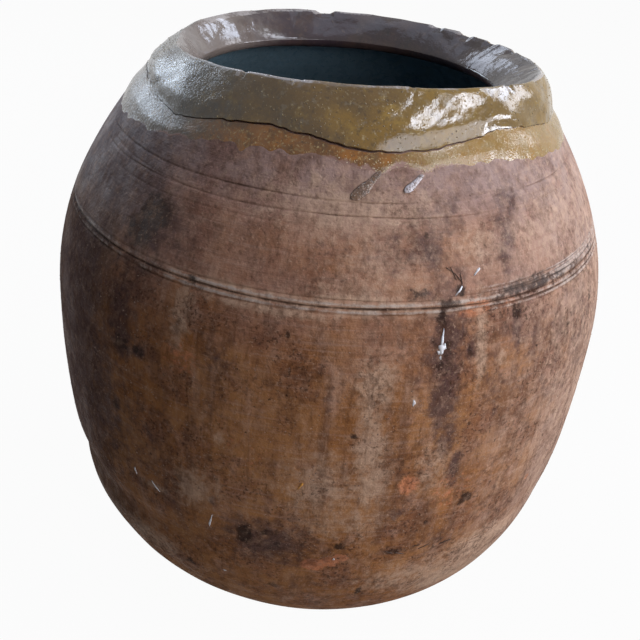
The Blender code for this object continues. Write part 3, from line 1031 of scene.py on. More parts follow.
# The pale line along the lip, a painted highlight: heights from the lip, mean and most of it, depth of a chip
# that is quite bare
LIP_HIGHLIGHT_LEVELS = (-0.0001, 0.0004)
LIP_HIGHLIGHT_MEAN = 0.45
LIP_HIGHLIGHT_MOST = 0.8
CHIP_BARE = 0.0008
CHIP_LEVELS = (-0.0030, -0.0012)

# The fringe's edge: how far up it is thin, how much, and how far up the crystals lie
THIN_RISE = 0.0055
THIN_MOST = 1.2
CRYSTAL_RISE = (0.004, 0.010)


def stain(angle, z, marks):
    """How strongly a kind of stain lies at each point: soft patches, the strongest one wins."""
    strength = np.zeros_like(z)
    for degrees, height, half_width, half_height, most in marks:
        across = turn_from(angle, math.radians(degrees)) * wall_radius(height) / half_width
        up = (z - height) / half_height
        strength = np.maximum(strength, most * np.exp(-(across**2 + up**2) / STAIN_SOFTNESS))
    return strength


def band_ridges(z, heights, width):
    """Where pale ridges lie beside the band's lines."""
    return sum(bell((z - BELLY_TOP - height) / width) for height in heights)


def paint_clay(mesh):
    """Marks the stains, the painted shade in the cut lines, the pale ridges with their painted highlight,
    and the broad tints of the clay, painted shade and sheen among them.
    """
    points = coordinates(mesh)
    angle, z = front_angle(points), points[:, 2]
    degrees = np.degrees(angle)
    shown = values_of(mesh, "face")
    # umber also carries painted shade on the left, and dust a painted sheen and a highlight on the right
    for name, marks in (("soot", SOOT), ("umber_and_shade", UMBER_AND_SHADE), ("dust_and_sheen", DUST_AND_SHEEN), ("bare_and_lip_highlight", BARE)):
        paint(mesh, name, stain(angle, z, marks))
    upper = smooth(z, *UPPER_LEVELS)
    front = 1 - smooth(np.abs(degrees), *BAND_FRONT)
    outer = smooth(np.abs(z - BELLY_TOP), *BAND_OUTER)
    upper_faint = upper * (UPPER_FAINT + UPPER_FAINT_RIGHT * smooth(degrees, *UPPER_RIGHT))
    faint = np.maximum(upper_faint, BAND_FAINT * front * outer * (1 - upper))
    # Painted shade in the cut lines, darker where they are cut deeper
    paint(mesh, "groove", np.clip(incised(angle, z) / DARK_LINE, 0, 1) * (1 - faint) * shown)
    # Pale ridges: chalky dust with a painted highlight
    ridges = band_ridges(z, BAND_RIDGES, BAND_RIDGE_WIDTH)
    ridges += window(degrees, *RIDGE_TURN) * band_ridges(z, BAND_RIDGES_RIGHT, BAND_RIDGE_RIGHT_WIDTH)
    paint(mesh, "ridge", ridges * (RIDGE_RUB_MEAN + waves(angle, RIDGE_RUB_WAVES)))
    paint(mesh, "blush", sum(0.5 * smooth(z, *levels) for levels in BLUSH_LEVELS))
    # A pale haze with painted sheen over the lit right side
    paint(mesh, "haze_and_sheen", window(degrees, *HAZE_AND_SHEEN_TURN))
    # Greyer towards the top of the shoulder
    paint(mesh, "grey_top", smooth(z, *GREY_TOP_LEVELS))
    # Painted sheen of the sky on the left of the shoulder, as a grey
    paint(mesh, "ash", window(-degrees, *SHEEN_TURN) * smooth(z, *SHEEN_LEVELS))
    # Painted shade on the left, the side away from the lamps, fading out up the shoulder
    paint(mesh, "painted_shade", window(-degrees, *PAINTED_SHADE_TURN) * (1 - smooth(z, *PAINTED_SHADE_LEVELS)))
    paint(mesh, "smoke", smooth(np.abs(degrees - CLEAN_SIDE), *SMOKE_TURN))
    paint(mesh, "grain", shown)


def paint_glaze(mesh):
    """Marks where the glaze is chipped off the lip, with the painted highlight along the lip, where ash and
    painted sheen lie on it, and where it pooled.
    """
    points = coordinates(mesh)
    angle, z = front_angle(points), points[:, 2]
    degrees = np.degrees(angle)
    over_lip = z - TOP - rim_level(angle)
    # A pale line along the lip, uneven round it: a painted highlight
    lip_highlight = np.clip(LIP_HIGHLIGHT_MEAN + waves(angle, LIP_HIGHLIGHT_WAVES), 0, LIP_HIGHLIGHT_MOST)
    chipped = lip_chip(angle, z) / CHIP_BARE * smooth(over_lip, *CHIP_LEVELS)
    paint(mesh, "bare_and_lip_highlight", np.clip(chipped + lip_highlight * smooth(over_lip, *LIP_HIGHLIGHT_LEVELS), 0, 1))
    # Ash and painted sheen of the sky at the left of the glazes
    paint(mesh, "ash", window(-degrees, *GLAZE_ASH_AND_SHEEN_TURN))
    paint(mesh, "pool", window(degrees, *GLAZE_POOL_TURN))
    paint(mesh, "grain", values_of(mesh, "face"))


def paint_fringe(mesh):
    """Marks where the glaze on the shoulder thins out to the clay, and where crystals grew along its edge."""
    points = coordinates(mesh)
    angle = front_angle(points)
    over_edge = points[:, 2] - GLAZE_TOP + fringe_drop(angle)
    paint(mesh, "thin", THIN_MOST * (1 - smooth(over_edge, 0.0, THIN_RISE)))
    crystals = window(np.degrees(angle), *CRYSTAL_TURN) * (1 - smooth(over_edge, *CRYSTAL_RISE))
    paint(mesh, "grain", values_of(mesh, "face") * crystals)


def paint_lining(mesh):
    """Marks the painted sky light on the lining, strongest under the collar."""
    paint(mesh, "bloom", smooth(coordinates(mesh)[:, 2], *SKY_LIGHT_LEVELS))


# Materials: the lead in the glaze bends light more than clay does
CLAY_IOR = 1.5
GLAZE_IOR = 1.70


def linear(hex_colour):
    """An sRGB hex colour as the linear numbers that the shaders take."""
    codes = [int(hex_colour[index : index + 2], 16) / 255 for index in (1, 3, 5)]
    lit = [code / 12.92 if code <= 0.04045 else ((code + 0.055) / 1.055) ** 2.4 for code in codes]
    return (*lit, 1.0)


def emptied_tree(owner):
    """The node tree of a material or a world, with nothing in it."""
    owner.use_nodes = True
    owner.node_tree.nodes.clear()
    return owner.node_tree


def new_material(name):
    """An empty material; returns it with its tree and the coordinates of the piece."""
    material = bpy.data.materials.new(name)
    tree = emptied_tree(material)
    return material, tree, add(tree, "ShaderNodeTexCoord").outputs["Object"]


def patches(tree, place, size_mm, low, high, most=1.0, stretch=(1.0, 1.0, 1.0), detail=4.0, least=0.0):
    """Ragged patches about size_mm wide: least where the noise is under low, most where it is over high.

    A stretch under 1 draws the patches out along that axis.
    """
    drawn = add(tree, "ShaderNodeMapping", {"Vector": place, "Scale": stretch})
    cloud = add(
        tree,
        "ShaderNodeTexNoise",
        {"Vector": drawn, "Scale": 1000.0 / size_mm, "Detail": detail, "Roughness": 0.6},
    )
    return add(
        tree,
        "ShaderNodeMapRange",
        {"Value": cloud, "From Min": low, "From Max": high, "To Min": least, "To Max": most},
        interpolation_type="SMOOTHSTEP",
    )


def gathered(tree, place, size_mm, low, high, most, gather_mm):
    """Specks about size_mm wide that gather in places gather_mm wide."""
    specks = patches(tree, place, size_mm, low, high, most)
    somewhere = patches(tree, place, gather_mm, 0.40, 0.62)
    return add(tree, "ShaderNodeMath", {0: specks, 1: somewhere}, operation="MULTIPLY")


def painted(tree, place, name, size_mm, low, high, most=1.0, ragged=1.2):
    """A mask painted on the mesh, its edge broken up by noise about size_mm wide."""
    mask = add(tree, "ShaderNodeAttribute", attribute_name=name).outputs["Fac"]
    cloud = add(
        tree,
        "ShaderNodeTexNoise",
        {"Vector": place, "Scale": 1000.0 / size_mm, "Detail": 6.0, "Roughness": 0.65},
    )
    broken = add(tree, "ShaderNodeMath", {0: cloud, 1: ragged, 2: mask}, operation="MULTIPLY_ADD")
    middle = ragged / 2
    return add(
        tree,
        "ShaderNodeMapRange",
        {"Value": broken, "From Min": middle + low, "From Max": middle + high, "To Max": most},
        interpolation_type="SMOOTHSTEP",
    )


def pits(tree, place, apart_mm, width):
    """Round pits about apart_mm from each other, each as wide as a share of that."""
    cells = add(tree, "ShaderNodeTexVoronoi", {"Vector": place, "Scale": 1000.0 / apart_mm})
    return add(tree, "ShaderNodeMapRange", {"Value": cells.outputs["Distance"], "From Max": width})


def layered(tree, base, coats):
    """A base colour with further colours laid over it in order, each by its share."""
    colour = linear(base)
    for share, hex_colour in coats:
        laid = add(tree, "ShaderNodeMix", {0: share, 6: colour, 7: linear(hex_colour)}, data_type="RGBA")
        colour = laid.outputs[2]
    return colour


def bumped(tree, heights):
    """A normal raised by several patterns, each with its height in millimetres."""
    made = None
    for pattern, millimetres in heights:
        inputs = {"Height": pattern, "Distance": millimetres / 1000, "Strength": 1.0}
        if made:
            inputs["Normal"] = made
        made = add(tree, "ShaderNodeBump", inputs)
    return made


def finish_material(tree, values):
    """Ends a material in a principled shader that takes the given patterns and values."""
    shader = add(tree, "ShaderNodeBsdfPrincipled", values)
    add(tree, "ShaderNodeOutputMaterial", {"Surface": shader})


def terracotta(name, specular, specks):
    """Terracotta, thrown, fired in a wood kiln and weathered outdoors.

    The eye gets a matt red-brown with a faint sheen at the edges, dark runs where water came down, soot
    and iron stains, pale dust, and small pits and grit from the coarse clay. Painted light is laid in too:
    painted shade on the left and in the cut lines, and painted sheen and highlight on the left of the
    shoulder and over the lit right side. specks is the share of the dark specks that shows.
    """
    material, tree, place = new_material(name)
    coats = [
        (patches(tree, place, 75, 0.40, 0.62, 0.70), "#8f5b31"),
        (painted(tree, place, "blush", 45, 0.00, 1.00, 0.85, 1.0), "#a5847a"),
        # A pale haze with painted sheen over the lit right side
        (painted(tree, place, "haze_and_sheen", 28, 0.10, 1.10, 0.75, 1.5), "#a18b80"),
        # Greyer towards the top of the shoulder
        (painted(tree, place, "grey_top", 20, 0.10, 1.00, 0.60, 1.0), "#94807a"),
        (patches(tree, place, 30, 0.46, 0.66, 0.55), "#71493a"),
        (patches(tree, place, 19, 0.54, 0.72, 0.55), "#b98f78"),
        (patches(tree, place, 18, 0.50, 0.70, 0.60, (1.0, 1.0, 0.11)), "#5f4132"),
        (patches(tree, place, 13, 0.54, 0.74, 0.45, (1.0, 1.0, 0.16)), "#bb9680"),
        (patches(tree, place, 3.4, 0.50, 0.72, 0.26, (0.03, 0.03, 1.0)), "#6d4a3a"),
        (patches(tree, place, 2.4, 0.52, 0.70, 0.24, (0.05, 0.05, 1.0)), "#b99c8c"),
        # Painted shade on the left, the side away from the lamps
        (painted(tree, place, "painted_shade", 35, 0.05, 0.95, 0.78, 1.2), "#2b211b"),
        # Painted sheen of the sky on the left of the shoulder
        (painted(tree, place, "ash", 25, 0.00, 0.90, 0.68, 1.2), "#78767a"),
        (painted(tree, place, "smoke", 40, 0.75, 1.30, 0.75, 2.2), "#4a3732"),
        (painted(tree, place, "bare_and_lip_highlight", 4, 0.45, 0.75, 0.85), "#ca825c"),
        # Umber stains, and painted shade on the left
        (painted(tree, place, "umber_and_shade", 9, 0.22, 1.00, 0.88, 1.9), "#4f3c3a"),
        # Pale dust, and painted sheen and highlight on the right
        (painted(tree, place, "dust_and_sheen", 6, 0.25, 1.15, 0.74, 1.8), "#c6a78e"),
        # Pale chalky dust with a painted highlight beside the band's lines
        (painted(tree, place, "ridge", 6, 0.28, 1.00, 0.80, 1.8), "#bfb0a5"),
        (painted(tree, place, "soot", 5.5, 0.48, 1.00, 0.88, 2.0), "#211a18"),
        # Painted shade in the cut lines
        (painted(tree, place, "groove", 9, 0.32, 1.00, 0.85, 1.0), "#291d18"),
        (patches(tree, place, 11, 0.50, 0.70, 0.32), "#5b3c2d"),
        (patches(tree, place, 7.0, 0.48, 0.70, 0.28), "#b39079"),
        (patches(tree, place, 4.0, 0.50, 0.72, 0.40, (1.0, 1.0, 0.14)), "#553828"),
        (gathered(tree, place, 5.0, 0.42, 0.64, 0.52 * specks, 38), "#472e22"),
        (gathered(tree, place, 2.4, 0.50, 0.66, 0.70 * specks, 30), "#35231a"),
        (patches(tree, place, 2.2, 0.56, 0.74, 0.40), "#c3a48c"),
        (patches(tree, place, 5.5, 0.67, 0.72, 0.75 * specks, detail=6.0), "#241a16"),
    ]
    heights = (
        (patches(tree, place, 1.3, 0.2, 0.8), 0.12),
        (patches(tree, place, 6, 0.2, 0.8), 0.40),
        (patches(tree, place, 2.6, 0.3, 0.7, 1.0, (0.05, 0.05, 1.0)), 0.15),
        (pits(tree, place, 4.5, 0.22), 0.20),
    )
    finish_material(tree, {
        "Base Color": layered(tree, "#a4734a", coats),
        "Roughness": patches(tree, place, 22, 0.35, 0.65, 0.85, least=0.62),
        "Normal": bumped(tree, heights),
        "Specular IOR Level": specular,
        "IOR": CLAY_IOR,
    })
    return material


def glaze(
    name, base, coats, rough, grain_mm, grain_height, pit_height,
    over=(), specular=0.3, matt=None, crust=None,
):
    """A lead glaze: a glassy coat over the clay whose colour pools and thins, with pits and pimples.

    coats are (patch size in mm, noise low, noise high, most, colour), laid in order, and over are painted
    masks (name, edge size in mm, low, high, most, raggedness, colour) laid on them; rough is its range,
    grain and pits are raised by heights in mm, matt is a painted mask that dulls it, and crust one of the
    places where it is gritty.
    """
    material, tree, place = new_material(name)
    laid = [(patches(tree, place, size, low, high, most), tint) for size, low, high, most, tint in coats]
    laid += [(painted(tree, place, *mask), tint) for *mask, tint in over]
    gloss = patches(tree, place, 9, 0.35, 0.65, rough[1], least=rough[0])
    if matt:
        dull = painted(tree, place, *matt)
        gloss = add(tree, "ShaderNodeMath", {0: gloss, 1: dull}, operation="MAXIMUM")
    heights = [
        (patches(tree, place, grain_mm, 0.2, 0.8, detail=2.0), grain_height),
        (patches(tree, place, 9, 0.2, 0.8, detail=1.0), 0.15),
        (pits(tree, place, 3.2, 0.25), pit_height),
    ]
    if crust:
        grit = patches(tree, place, 1.5, 0.35, 0.65, detail=3.0)
        where = painted(tree, place, *crust)
        gritty = add(tree, "ShaderNodeMath", {0: grit, 1: where}, operation="MULTIPLY")
        heights.append((gritty, 0.11))
    finish_material(tree, {
        "Base Color": layered(tree, base, laid),
        "Roughness": gloss,
        "Normal": bumped(tree, heights),
        "Specular IOR Level": specular,
        "IOR": GLAZE_IOR,
    })
    return material


def plain_grit(name, base, tint, roughness):
    """Grains and splashes too small to show a pattern of their own: one colour that drifts a little."""
    material, tree, place = new_material(name)
    finish_material(tree, {
        "Base Color": layered(tree, base, [(patches(tree, place, 14, 0.4, 0.6, 0.8), tint)]),
        "Roughness": patches(tree, place, 6, 0.3, 0.7, roughness + 0.15, least=roughness),
        "Normal": bumped(tree, [(patches(tree, place, 0.8, 0.2, 0.8), 0.1)]),
    })
    return material


CLAY = terracotta("terracotta_thrown_and_weathered", specular=0.05, specks=1.0)
# Fumes of the glaze left a thin vapour glaze on the clay below the collar, so it has more sheen
FUMED_CLAY = terracotta("terracotta_fumed_by_the_glaze", specular=0.24, specks=0.6)

# What lies over the glazes: mustard where they ran together; at the left, ash with a painted sheen of the
# sky, dark grey on the collar and paler in the mouth; clay through a thin edge; a pale painted highlight
# along the lip and over its chips; and painted sky light on the lining
POOLED_LITTLE = ("pool", 9, 0.20, 1.10, 0.35, 1.4, "#7d6424")
POOLED_MUCH = ("pool", 9, 0.20, 1.10, 0.75, 1.4, "#8a7036")
# Ash with a dark grey painted sheen at the left of the collar and fringe
ASH_AND_GREY_SHEEN = ("ash", 12, 0.15, 1.00, 0.80, 1.2, "#323332")
# Ash with a paler painted sheen at the left of the mouth
ASH_AND_PALE_SHEEN = ("ash", 14, 0.20, 1.00, 0.60, 1.2, "#80756c")
THINNED = ("thin", 3, 0.20, 1.00, 0.95, 2.2, "#93746a")
# A pale painted highlight along the lip, the same pale grey over its chips
LIP_HIGHLIGHT = ("bare_and_lip_highlight", 3, 0.30, 0.75, 0.80, 1.2, "#a39b96")
# Painted sky light on the upper lining, under the collar
PAINTED_SKY_LIGHT = ("bloom", 30, 0.10, 0.90, 0.50, 0.5, "#6f8793")
# Where a glaze is dull because it is thin, and gritty with ash
DULLED = ("thin", 3, 0.20, 1.00, 0.65, 2.2)
GRITTY = ("ash", 14, 0.10, 0.80, 1.0, 1.0)

# Honey-coloured lead glaze on the collar: brown where thin, mustard where it pooled, grey scum on top and
# sharp lights, broken up at the left by ash and a dark grey painted sheen
COLLAR_GLAZE = glaze(
    "lead_glaze_honey_poured",
    "#62481c",
    [
        (40, 0.42, 0.60, 0.8, "#805f18"),
        (22, 0.50, 0.66, 0.7, "#503a1c"),
        (11, 0.52, 0.70, 0.6, "#92742c"),
        (4, 0.54, 0.70, 0.6, "#3c2c14"),
        (6, 0.56, 0.70, 0.5, "#7b705c"),
        (2.5, 0.58, 0.72, 0.5, "#b3a37c"),
        (1.8, 0.54, 0.66, 0.4, "#4a3818"),
    ],
    rough=(0.07, 0.17), grain_mm=1.4, grain_height=0.035, pit_height=0.11,
    over=(POOLED_LITTLE, ASH_AND_GREY_SHEEN, LIP_HIGHLIGHT), crust=GRITTY,
)
# The same glaze in the mouth, thinner and starved: mauve-brown, pimpled and glossy
MOUTH_GLAZE = glaze(
    "lead_glaze_mouth_thin",
    "#3a2e32",
    [
        (30, 0.42, 0.62, 0.8, "#4a3a34"),
        (14, 0.52, 0.70, 0.6, "#2c282b"),
        (6, 0.56, 0.72, 0.5, "#5c493f"),
        (2.2, 0.60, 0.72, 0.6, "#221d1d"),
    ],
    rough=(0.08, 0.20), grain_mm=3.0, grain_height=0.08, pit_height=0.06,
    over=(ASH_AND_PALE_SHEEN, LIP_HIGHLIGHT), specular=0.22,
)
# The fringe that ran out over the shoulder: amber, thinning to the clay
FRINGE_GLAZE = glaze(
    "lead_glaze_fringe_run",
    "#784a0e",
    [
        (26, 0.42, 0.60, 0.8, "#965c0c"),
        (9, 0.46, 0.64, 0.7, "#452c0e"),
        (4, 0.54, 0.70, 0.6, "#93784c"),
        (1.8, 0.56, 0.68, 0.7, "#c4ad7c"),
        (2.6, 0.58, 0.70, 0.7, "#38260f"),
    ],
    rough=(0.12, 0.28), grain_mm=1.8, grain_height=0.10, pit_height=0.08,
    over=(POOLED_MUCH, ASH_AND_GREY_SHEEN, THINNED), matt=DULLED, crust=GRITTY,
)
# The lining: an even blue-grey coat, half matt; the blue of it is painted reflection of the sky
LINING_GLAZE = glaze(
    "lead_glaze_lining_dark",
    "#5a6f79",
    [
        (45, 0.42, 0.62, 0.8, "#647d8a"),
        (12, 0.52, 0.70, 0.5, "#4b5f68"),
    ],
    rough=(0.24, 0.34), grain_mm=6.0, grain_height=0.15, pit_height=0.05,
    over=(PAINTED_SKY_LIGHT,),
)
# A run of glaze that froze on the shoulder and scabbed: mottled brown with pale glassy specks
DRIP_GLAZE = glaze(
    "lead_glaze_drip_scabbed",
    "#6b4e38",
    [
        (6, 0.42, 0.60, 0.8, "#4a3428"),
        (3, 0.50, 0.64, 0.7, "#8c6c58"),
        (1.6, 0.56, 0.66, 0.8, "#c9bcae"),
        (2.0, 0.54, 0.64, 0.7, "#33241c"),
    ],
    rough=(0.14, 0.34), grain_mm=1.6, grain_height=0.24, pit_height=0.12,
)
# A bead painted near-white with dark specks: a painted highlight, the sky's reflection on the glossy bead
HIGHLIT_BEAD_GLAZE = glaze(
    "lead_glaze_drip_painted_highlight",
    "#c6bec2",
    [
        (6, 0.42, 0.62, 0.8, "#8f7f78"),
        (1.8, 0.50, 0.62, 0.8, "#5a4a42"),
        (1.4, 0.56, 0.66, 0.8, "#e6e4ea"),
    ],
    rough=(0.06, 0.14), grain_mm=1.6, grain_height=0.22, pit_height=0.08,
)
# Coarse grains that came to the surface of the clay: brown and matt
GRIT = plain_grit("quartz_grit_fired_in_clay", "#8f725f", "#4a352b", 0.6)
# Blisters of the glaze and crystals that grew in it: small glossy lights, amber and cream
PIMPLES = plain_grit("lead_glaze_pimples", "#8d7a55", "#5c4728", 0.15)
CRYSTALS = plain_grit("lead_glaze_crystals", "#e6dabc", "#a98a52", 0.12)
# What dried on the wall: chalky white lime, dull yellow ochre and dark fibres of roots
LIME = plain_grit("lime_splash_dried", "#e4e6ec", "#c4bdb9", 0.6)
OCHRE = plain_grit("ochre_splash_dried", "#c28a3a", "#a87430", 0.7)
ROOTLETS = plain_grit("rootlets_dried_on_clay", "#3d2e27", "#57443a", 0.8)


# Pieces

def closed_mesh(name, points, faces, material):
    """A smooth mesh from points and faces, with doubled points merged and its faces turned out."""
    mesh = bpy.data.meshes.new(name)
    mesh.from_pydata([tuple(point) for point in points], [], faces)
    shell = bmesh.new()
    shell.from_mesh(mesh)
    bmesh.ops.remove_doubles(shell, verts=shell.verts, dist=MERGE_SMALL)
    bmesh.ops.recalc_face_normals(shell, faces=shell.faces)
    shell.to_mesh(mesh)
    shell.free()
    mesh.shade_smooth()
    mesh.materials.append(material)
    return mesh


def on_wall(angle, z, out):
    """Points on the outside of the wall, a little out from it, as the hands left them."""
    radius = wall_radius(z) + out
    turned = np.column_stack([
        (radius * np.sin(angle)).ravel(),
        (-radius * np.cos(angle)).ravel(),
        z.ravel(),
    ])
    return hand_made(turned)


def frozen_drip(name, degrees, top, length, width, tail, lean, thickness, material):
    """A run of glaze that stopped on the shoulder: a tail, some share as wide, that swells to a bead.

    top is how far it starts below the neck, and lean is how many degrees it wanders to the left.
    """
    t = (1 - np.cos(np.linspace(0, np.pi, DRIP_RINGS))) / 2
    rounding = np.sqrt(np.clip(1 - (2 * t - 1) ** 4, 0, 1))
    share = rounding * (tail + (1 - tail) * smooth(t, *DRIP_SWELLING))
    turn = np.linspace(0, 2 * np.pi, DRIP_SIDES, endpoint=False)
    across = np.outer(share, np.cos(turn)) * width / 2
    bulge = np.where(np.sin(turn) > 0, np.sin(turn), DRIP_UNDER * np.sin(turn))
    out = GLAZE_GAP + DRIP_UNDER * thickness + np.outer(share, bulge) * thickness
    z = NECK - top - length * t[:, None] + DRIP_SLANT * across
    waver = across + DRIP_WAVER * np.sin(DRIP_WAVERS * t)[:, None]
    angle = math.radians(degrees) - math.radians(lean) * t[:, None] + waver / wall_radius(z)
    faces = []
    for ring in range(DRIP_RINGS - 1):
        above = ring * DRIP_SIDES
        below = above + DRIP_SIDES
        for side in range(DRIP_SIDES):
            after = (side + 1) % DRIP_SIDES
            faces.append((above + side, above + after, below + after, below + side))
    return closed_mesh(name, on_wall(angle, z, out), faces, material)


def splashes(name, marks, material):
    """Dried splashes lying on the wall: low domes with a ragged outline."""
    turn = np.linspace(0, 2 * np.pi, SPLASH_SIDES, endpoint=False)
    angles, heights, lifts, faces = [], [], [], []
    for index, (degrees, height, half_width, half_length, lean) in enumerate(marks):
        ragged = 1 + sum(deep * np.sin(count * turn + step * index) for deep, count, step in SPLASH_LOBES)
        across = half_width * np.cos(turn) * ragged
        up = half_length * np.sin(turn) * ragged
        tilt = math.radians(lean)
        x = across * math.cos(tilt) - up * math.sin(tilt)
        z = across * math.sin(tilt) + up * math.cos(tilt)
        first = len(angles)
        for grow, lift in SPLASH_RINGS:
            count = SPLASH_SIDES if grow else 1
            angles += list(math.radians(degrees) + grow * x[:count] / wall_radius(height))
            heights += list(height + grow * z[:count])
            lifts += [lift] * count
        middle = first + SPLASH_SIDES
        top = middle + SPLASH_SIDES
        bottom = top + 1
        for side in range(SPLASH_SIDES):
            after = (side + 1) % SPLASH_SIDES
            faces.append((first + side, first + after, middle + after, middle + side))
            faces.append((middle + side, middle + after, top))
            faces.append((first + after, first + side, bottom))
    points = on_wall(np.array(angles), np.array(heights), np.array(lifts))
    return closed_mesh(name, points, faces, material)


# How each kind of turned piece is shaped and then painted
WALL_FINISH = (clay_shape, paint_clay)
RIM_FINISH = (coat_shape, paint_clay)
COAT_FINISH = (coat_shape, paint_glaze)
FRINGE_FINISH = (fringe_shape, paint_glaze, paint_fringe)
LINING_FINISH = (coat_shape, paint_lining)

# The turned pieces: name, node, slot, profile, material and finish
LOWER_RING = wall_profile(BASE_TOP, LOWER_TOP)
BELLY_RING = wall_profile(LOWER_TOP, BELLY_TOP)
SHOULDER_RING = wall_profile(BELLY_TOP, NECK)
COLLAR_COAT = coat_profile(collar_face(), GLAZE, lip=0)
MOUTH_COAT = coat_profile(funnel_face(), GLAZE, lip=-1)
FRINGE_BAND = fringe_profile()
THROWN = (
    ("base_disc_clay", "base_disc", "clay_base", base_profile(), CLAY, WALL_FINISH),
    ("lower_wall_clay", "lower_wall", "clay_lower", LOWER_RING, CLAY, WALL_FINISH),
    ("belly_wall_clay", "belly_wall", "clay_belly", BELLY_RING, CLAY, WALL_FINISH),
    ("shoulder_wall_clay", "shoulder_wall", "clay_shoulder", SHOULDER_RING, FUMED_CLAY, WALL_FINISH),
    ("rim_collar_clay", "rim_collar", "clay_rim", rim_profile(), CLAY, RIM_FINISH),
    ("collar_glaze_coat", "collar_glaze", "glaze_collar", COLLAR_COAT, COLLAR_GLAZE, COAT_FINISH),
    ("mouth_glaze_coat", "mouth_glaze", "glaze_mouth", MOUTH_COAT, MOUTH_GLAZE, COAT_FINISH),
    ("shoulder_glaze_fringe", "shoulder_glaze", "glaze_shoulder", FRINGE_BAND, FRINGE_GLAZE, FRINGE_FINISH),
    ("inside_glaze_lining", "inside_glaze", "glaze_inside", lining_profile(), LINING_GLAZE, LINING_FINISH),
)
thrown = {}
for name, node, slot, profile, material, (shape, *painters) in THROWN:
    thrown[name] = throw(name, profile, material, shape)
    for painter in painters:
        painter(thrown[name])
    link(name, thrown[name], node)

DRIPS = (
    ("glaze_drip_left_bead", "glaze_drip_left", LEFT_DRIP, DRIP_GLAZE),
    # The right bead is near-white: a painted highlight
    ("glaze_drip_right_bead", "glaze_drip_right", RIGHT_DRIP, HIGHLIT_BEAD_GLAZE),
)
for name, node, sizes, material in DRIPS:
    link(name, frozen_drip(name, *sizes, material), node)

# Grains: name, the piece that they lie on, slot, number per square metre, least and most radius, seed,
# material
SCATTERED = (
    ("belly_grit", "belly_wall_clay", "clay_belly", 9000, 0.0002, 0.0006, 3, GRIT),
    ("collar_glaze_pimples", "collar_glaze_coat", "glaze_collar", 30000, 0.0002, 0.0007, 5, PIMPLES),
    ("fringe_crystals", "shoulder_glaze_fringe", "glaze_shoulder", 240000, 0.0002, 0.0005, 7, CRYSTALS),
)
for name, ground, slot, density, least, most, seed, material in SCATTERED:
    sizes = {"Density": density, "Least": least, "Most": most, "Seed": seed, "Material": material}
    grains = run_tree(name, thrown[ground], GRAINS, sizes)
    grains.shade_smooth()
    link(name, grains, None)

DRIED_ON = (
    ("rootlets", ROOTLET_MARKS, ROOTLETS),
    ("lime_splashes", LIME_MARKS, LIME),
    ("ochre_splash", OCHRE_MARKS, OCHRE),
)
for name, marks, material in DRIED_ON:
    link(name, splashes(name, marks, material), None)


# Stage: floor, lamps, world and camera

# Soft panels of sky: name, place, direction that the width lies along, width, height, watts, colour
LAMPS = (
    ("key_window", (1.50, -1.15, 0.92), (0.59, 0.81, 0), 2.0, 0.9, 28, "#fcfaff"),
    ("sky_strip", (1.34, -0.40, 1.85), (0.13, 0.99, -0.08), 1.0, 0.2, 14, "#eef3ff"),
    ("right_sky", (2.0, -0.02, 0.78), (0, 1, 0), 0.45, 0.45, 12, "#eef3ff"),
    ("right_back_sky", (1.68, 0.78, 1.18), (-0.42, 0.91, 0), 0.4, 0.4, 4, "#f2f5ff"),
    ("left_sky", (-1.55, 1.15, 0.93), (0.60, 0.80, 0), 0.8, 0.35, 11, "#dfeeff"),
    ("top_sky", (-0.2, 0.3, 2.5), (1, 0, 0), 1.6, 1.6, 10, "#d5e2ff"),
    ("back_left_sky", (-0.88, 1.51, 1.58), (0.86, 0.50, 0), 1.2, 0.5, 9, "#dfeaff"),
    ("back_right_sky", (1.47, 1.05, 1.66), (0.58, -0.81, 0), 0.8, 0.45, 14, "#dfeaff"),
)
LAMP_AIM = (0, 0, 0.3)

# The camera that took the photo: its place, where it looked, how it was held, and its lens in millimetres
CAMERA_PLACE = (0.0, -0.75637, 0.59968)
CAMERA_AHEAD = (-0.00419, 0.88127, -0.47259)
CAMERA_ASKEW = math.radians(5.128)
CAMERA_LENS = 57.04
CAMERA_SENSOR = 36.0

FLOOR_HALF = 8.0
FLOOR_WHITE = 0.96
SKY_STRENGTH = 0.05


def white_for_the_eye(tree, lit, white_kind, white_share):
    """Shows white to the camera, in reflections and through glass, and a lit surface to other light."""
    rays = add(tree, "ShaderNodeLightPath").outputs
    seen = rays["Is Camera Ray"]
    for other in ("Is Glossy Ray", "Is Transmission Ray"):
        seen = add(tree, "ShaderNodeMath", {0: seen, 1: rays[other]}, operation="MAXIMUM")
    share = add(tree, "ShaderNodeMath", {0: seen, 1: white_share}, operation="MULTIPLY")
    white = add(tree, white_kind, {"Color": linear("#ffffff"), "Strength": 1.0})
    return add(tree, "ShaderNodeMixShader", {0: share, 1: lit, 2: white})


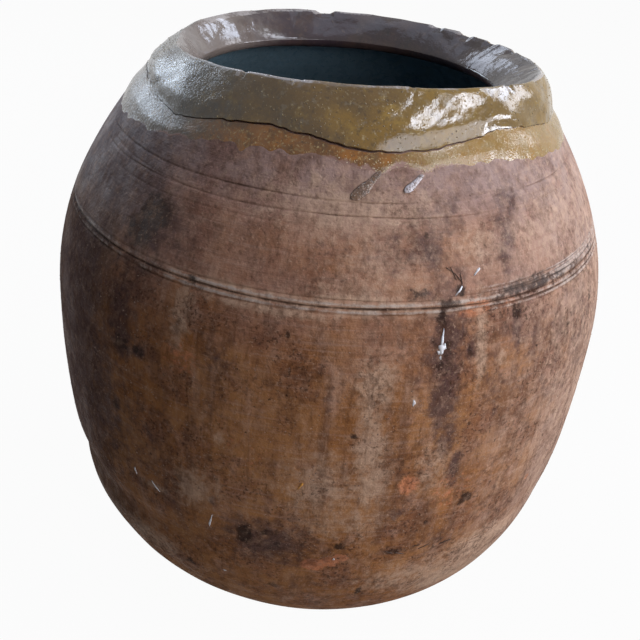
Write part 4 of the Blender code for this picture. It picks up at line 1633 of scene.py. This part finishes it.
def make_floor():
    """A sheet of paper that the jar stands on; white to the eye, with a faint shadow."""
    half = FLOOR_HALF
    mesh = bpy.data.meshes.new("floor")
    corners = [(-half, -half, 0), (half, -half, 0), (half, half, 0), (-half, half, 0)]
    mesh.from_pydata(corners, [], [(0, 1, 2, 3)])
    material = bpy.data.materials.new("floor_paper_white")
    tree = emptied_tree(material)
    paper = add(tree, "ShaderNodeBsdfDiffuse", {"Color": linear("#9c9a98")})
    surface = white_for_the_eye(tree, paper, "ShaderNodeEmission", FLOOR_WHITE)
    add(tree, "ShaderNodeOutputMaterial", {"Surface": surface})
    mesh.materials.append(material)
    floor = put_in_scene("floor", mesh)


def make_world():
    """A dim sky that is white to the eye."""
    world = bpy.data.worlds.new("studio_sky")
    tree = emptied_tree(world)
    sky = add(tree, "ShaderNodeBackground", {"Color": linear("#b6b4b2"), "Strength": SKY_STRENGTH})
    surface = white_for_the_eye(tree, sky, "ShaderNodeBackground", 1.0)
    add(tree, "ShaderNodeOutputWorld", {"Surface": surface})
    bpy.context.scene.world = world


def posed(place, side, up, back):
    """The matrix of something at a place, with its axes along three directions."""
    return Matrix.Translation(place) @ Matrix((side, up, back)).transposed().to_4x4()


def make_lamp(name, place, along, width, height, watts, hex_colour):
    """A soft panel aimed at the jar, its width lying along the given direction."""
    lamp = bpy.data.lights.new(name, "AREA")
    lamp.shape = "RECTANGLE"
    lamp.size = width
    lamp.size_y = height
    lamp.energy = watts
    lamp.color = linear(hex_colour)[:3]
    back = (Vector(place) - Vector(LAMP_AIM)).normalized()
    up = back.cross(Vector(along)).normalized()
    put_in_scene(name, lamp).matrix_world = posed(place, up.cross(back), up, back)


def make_camera():
    """The photographer's eye: in front and above, looking down, the camera held a little askew."""
    ahead = Vector(CAMERA_AHEAD).normalized()
    level = ahead.cross(Vector((0, 0, 1))).normalized()
    upright = level.cross(ahead)
    right = math.cos(CAMERA_ASKEW) * level + math.sin(CAMERA_ASKEW) * upright
    up = math.cos(CAMERA_ASKEW) * upright - math.sin(CAMERA_ASKEW) * level
    lens = bpy.data.cameras.new("photo_view")
    lens.sensor_width = CAMERA_SENSOR
    lens.lens = CAMERA_LENS
    camera = put_in_scene("photo_view", lens)
    camera.matrix_world = posed(CAMERA_PLACE, right, up, -ahead)
    bpy.context.scene.camera = camera


make_floor()
make_world()
make_camera()
for lamp in LAMPS:
    make_lamp(*lamp)
bpy.context.scene.view_settings.view_transform = "Standard"
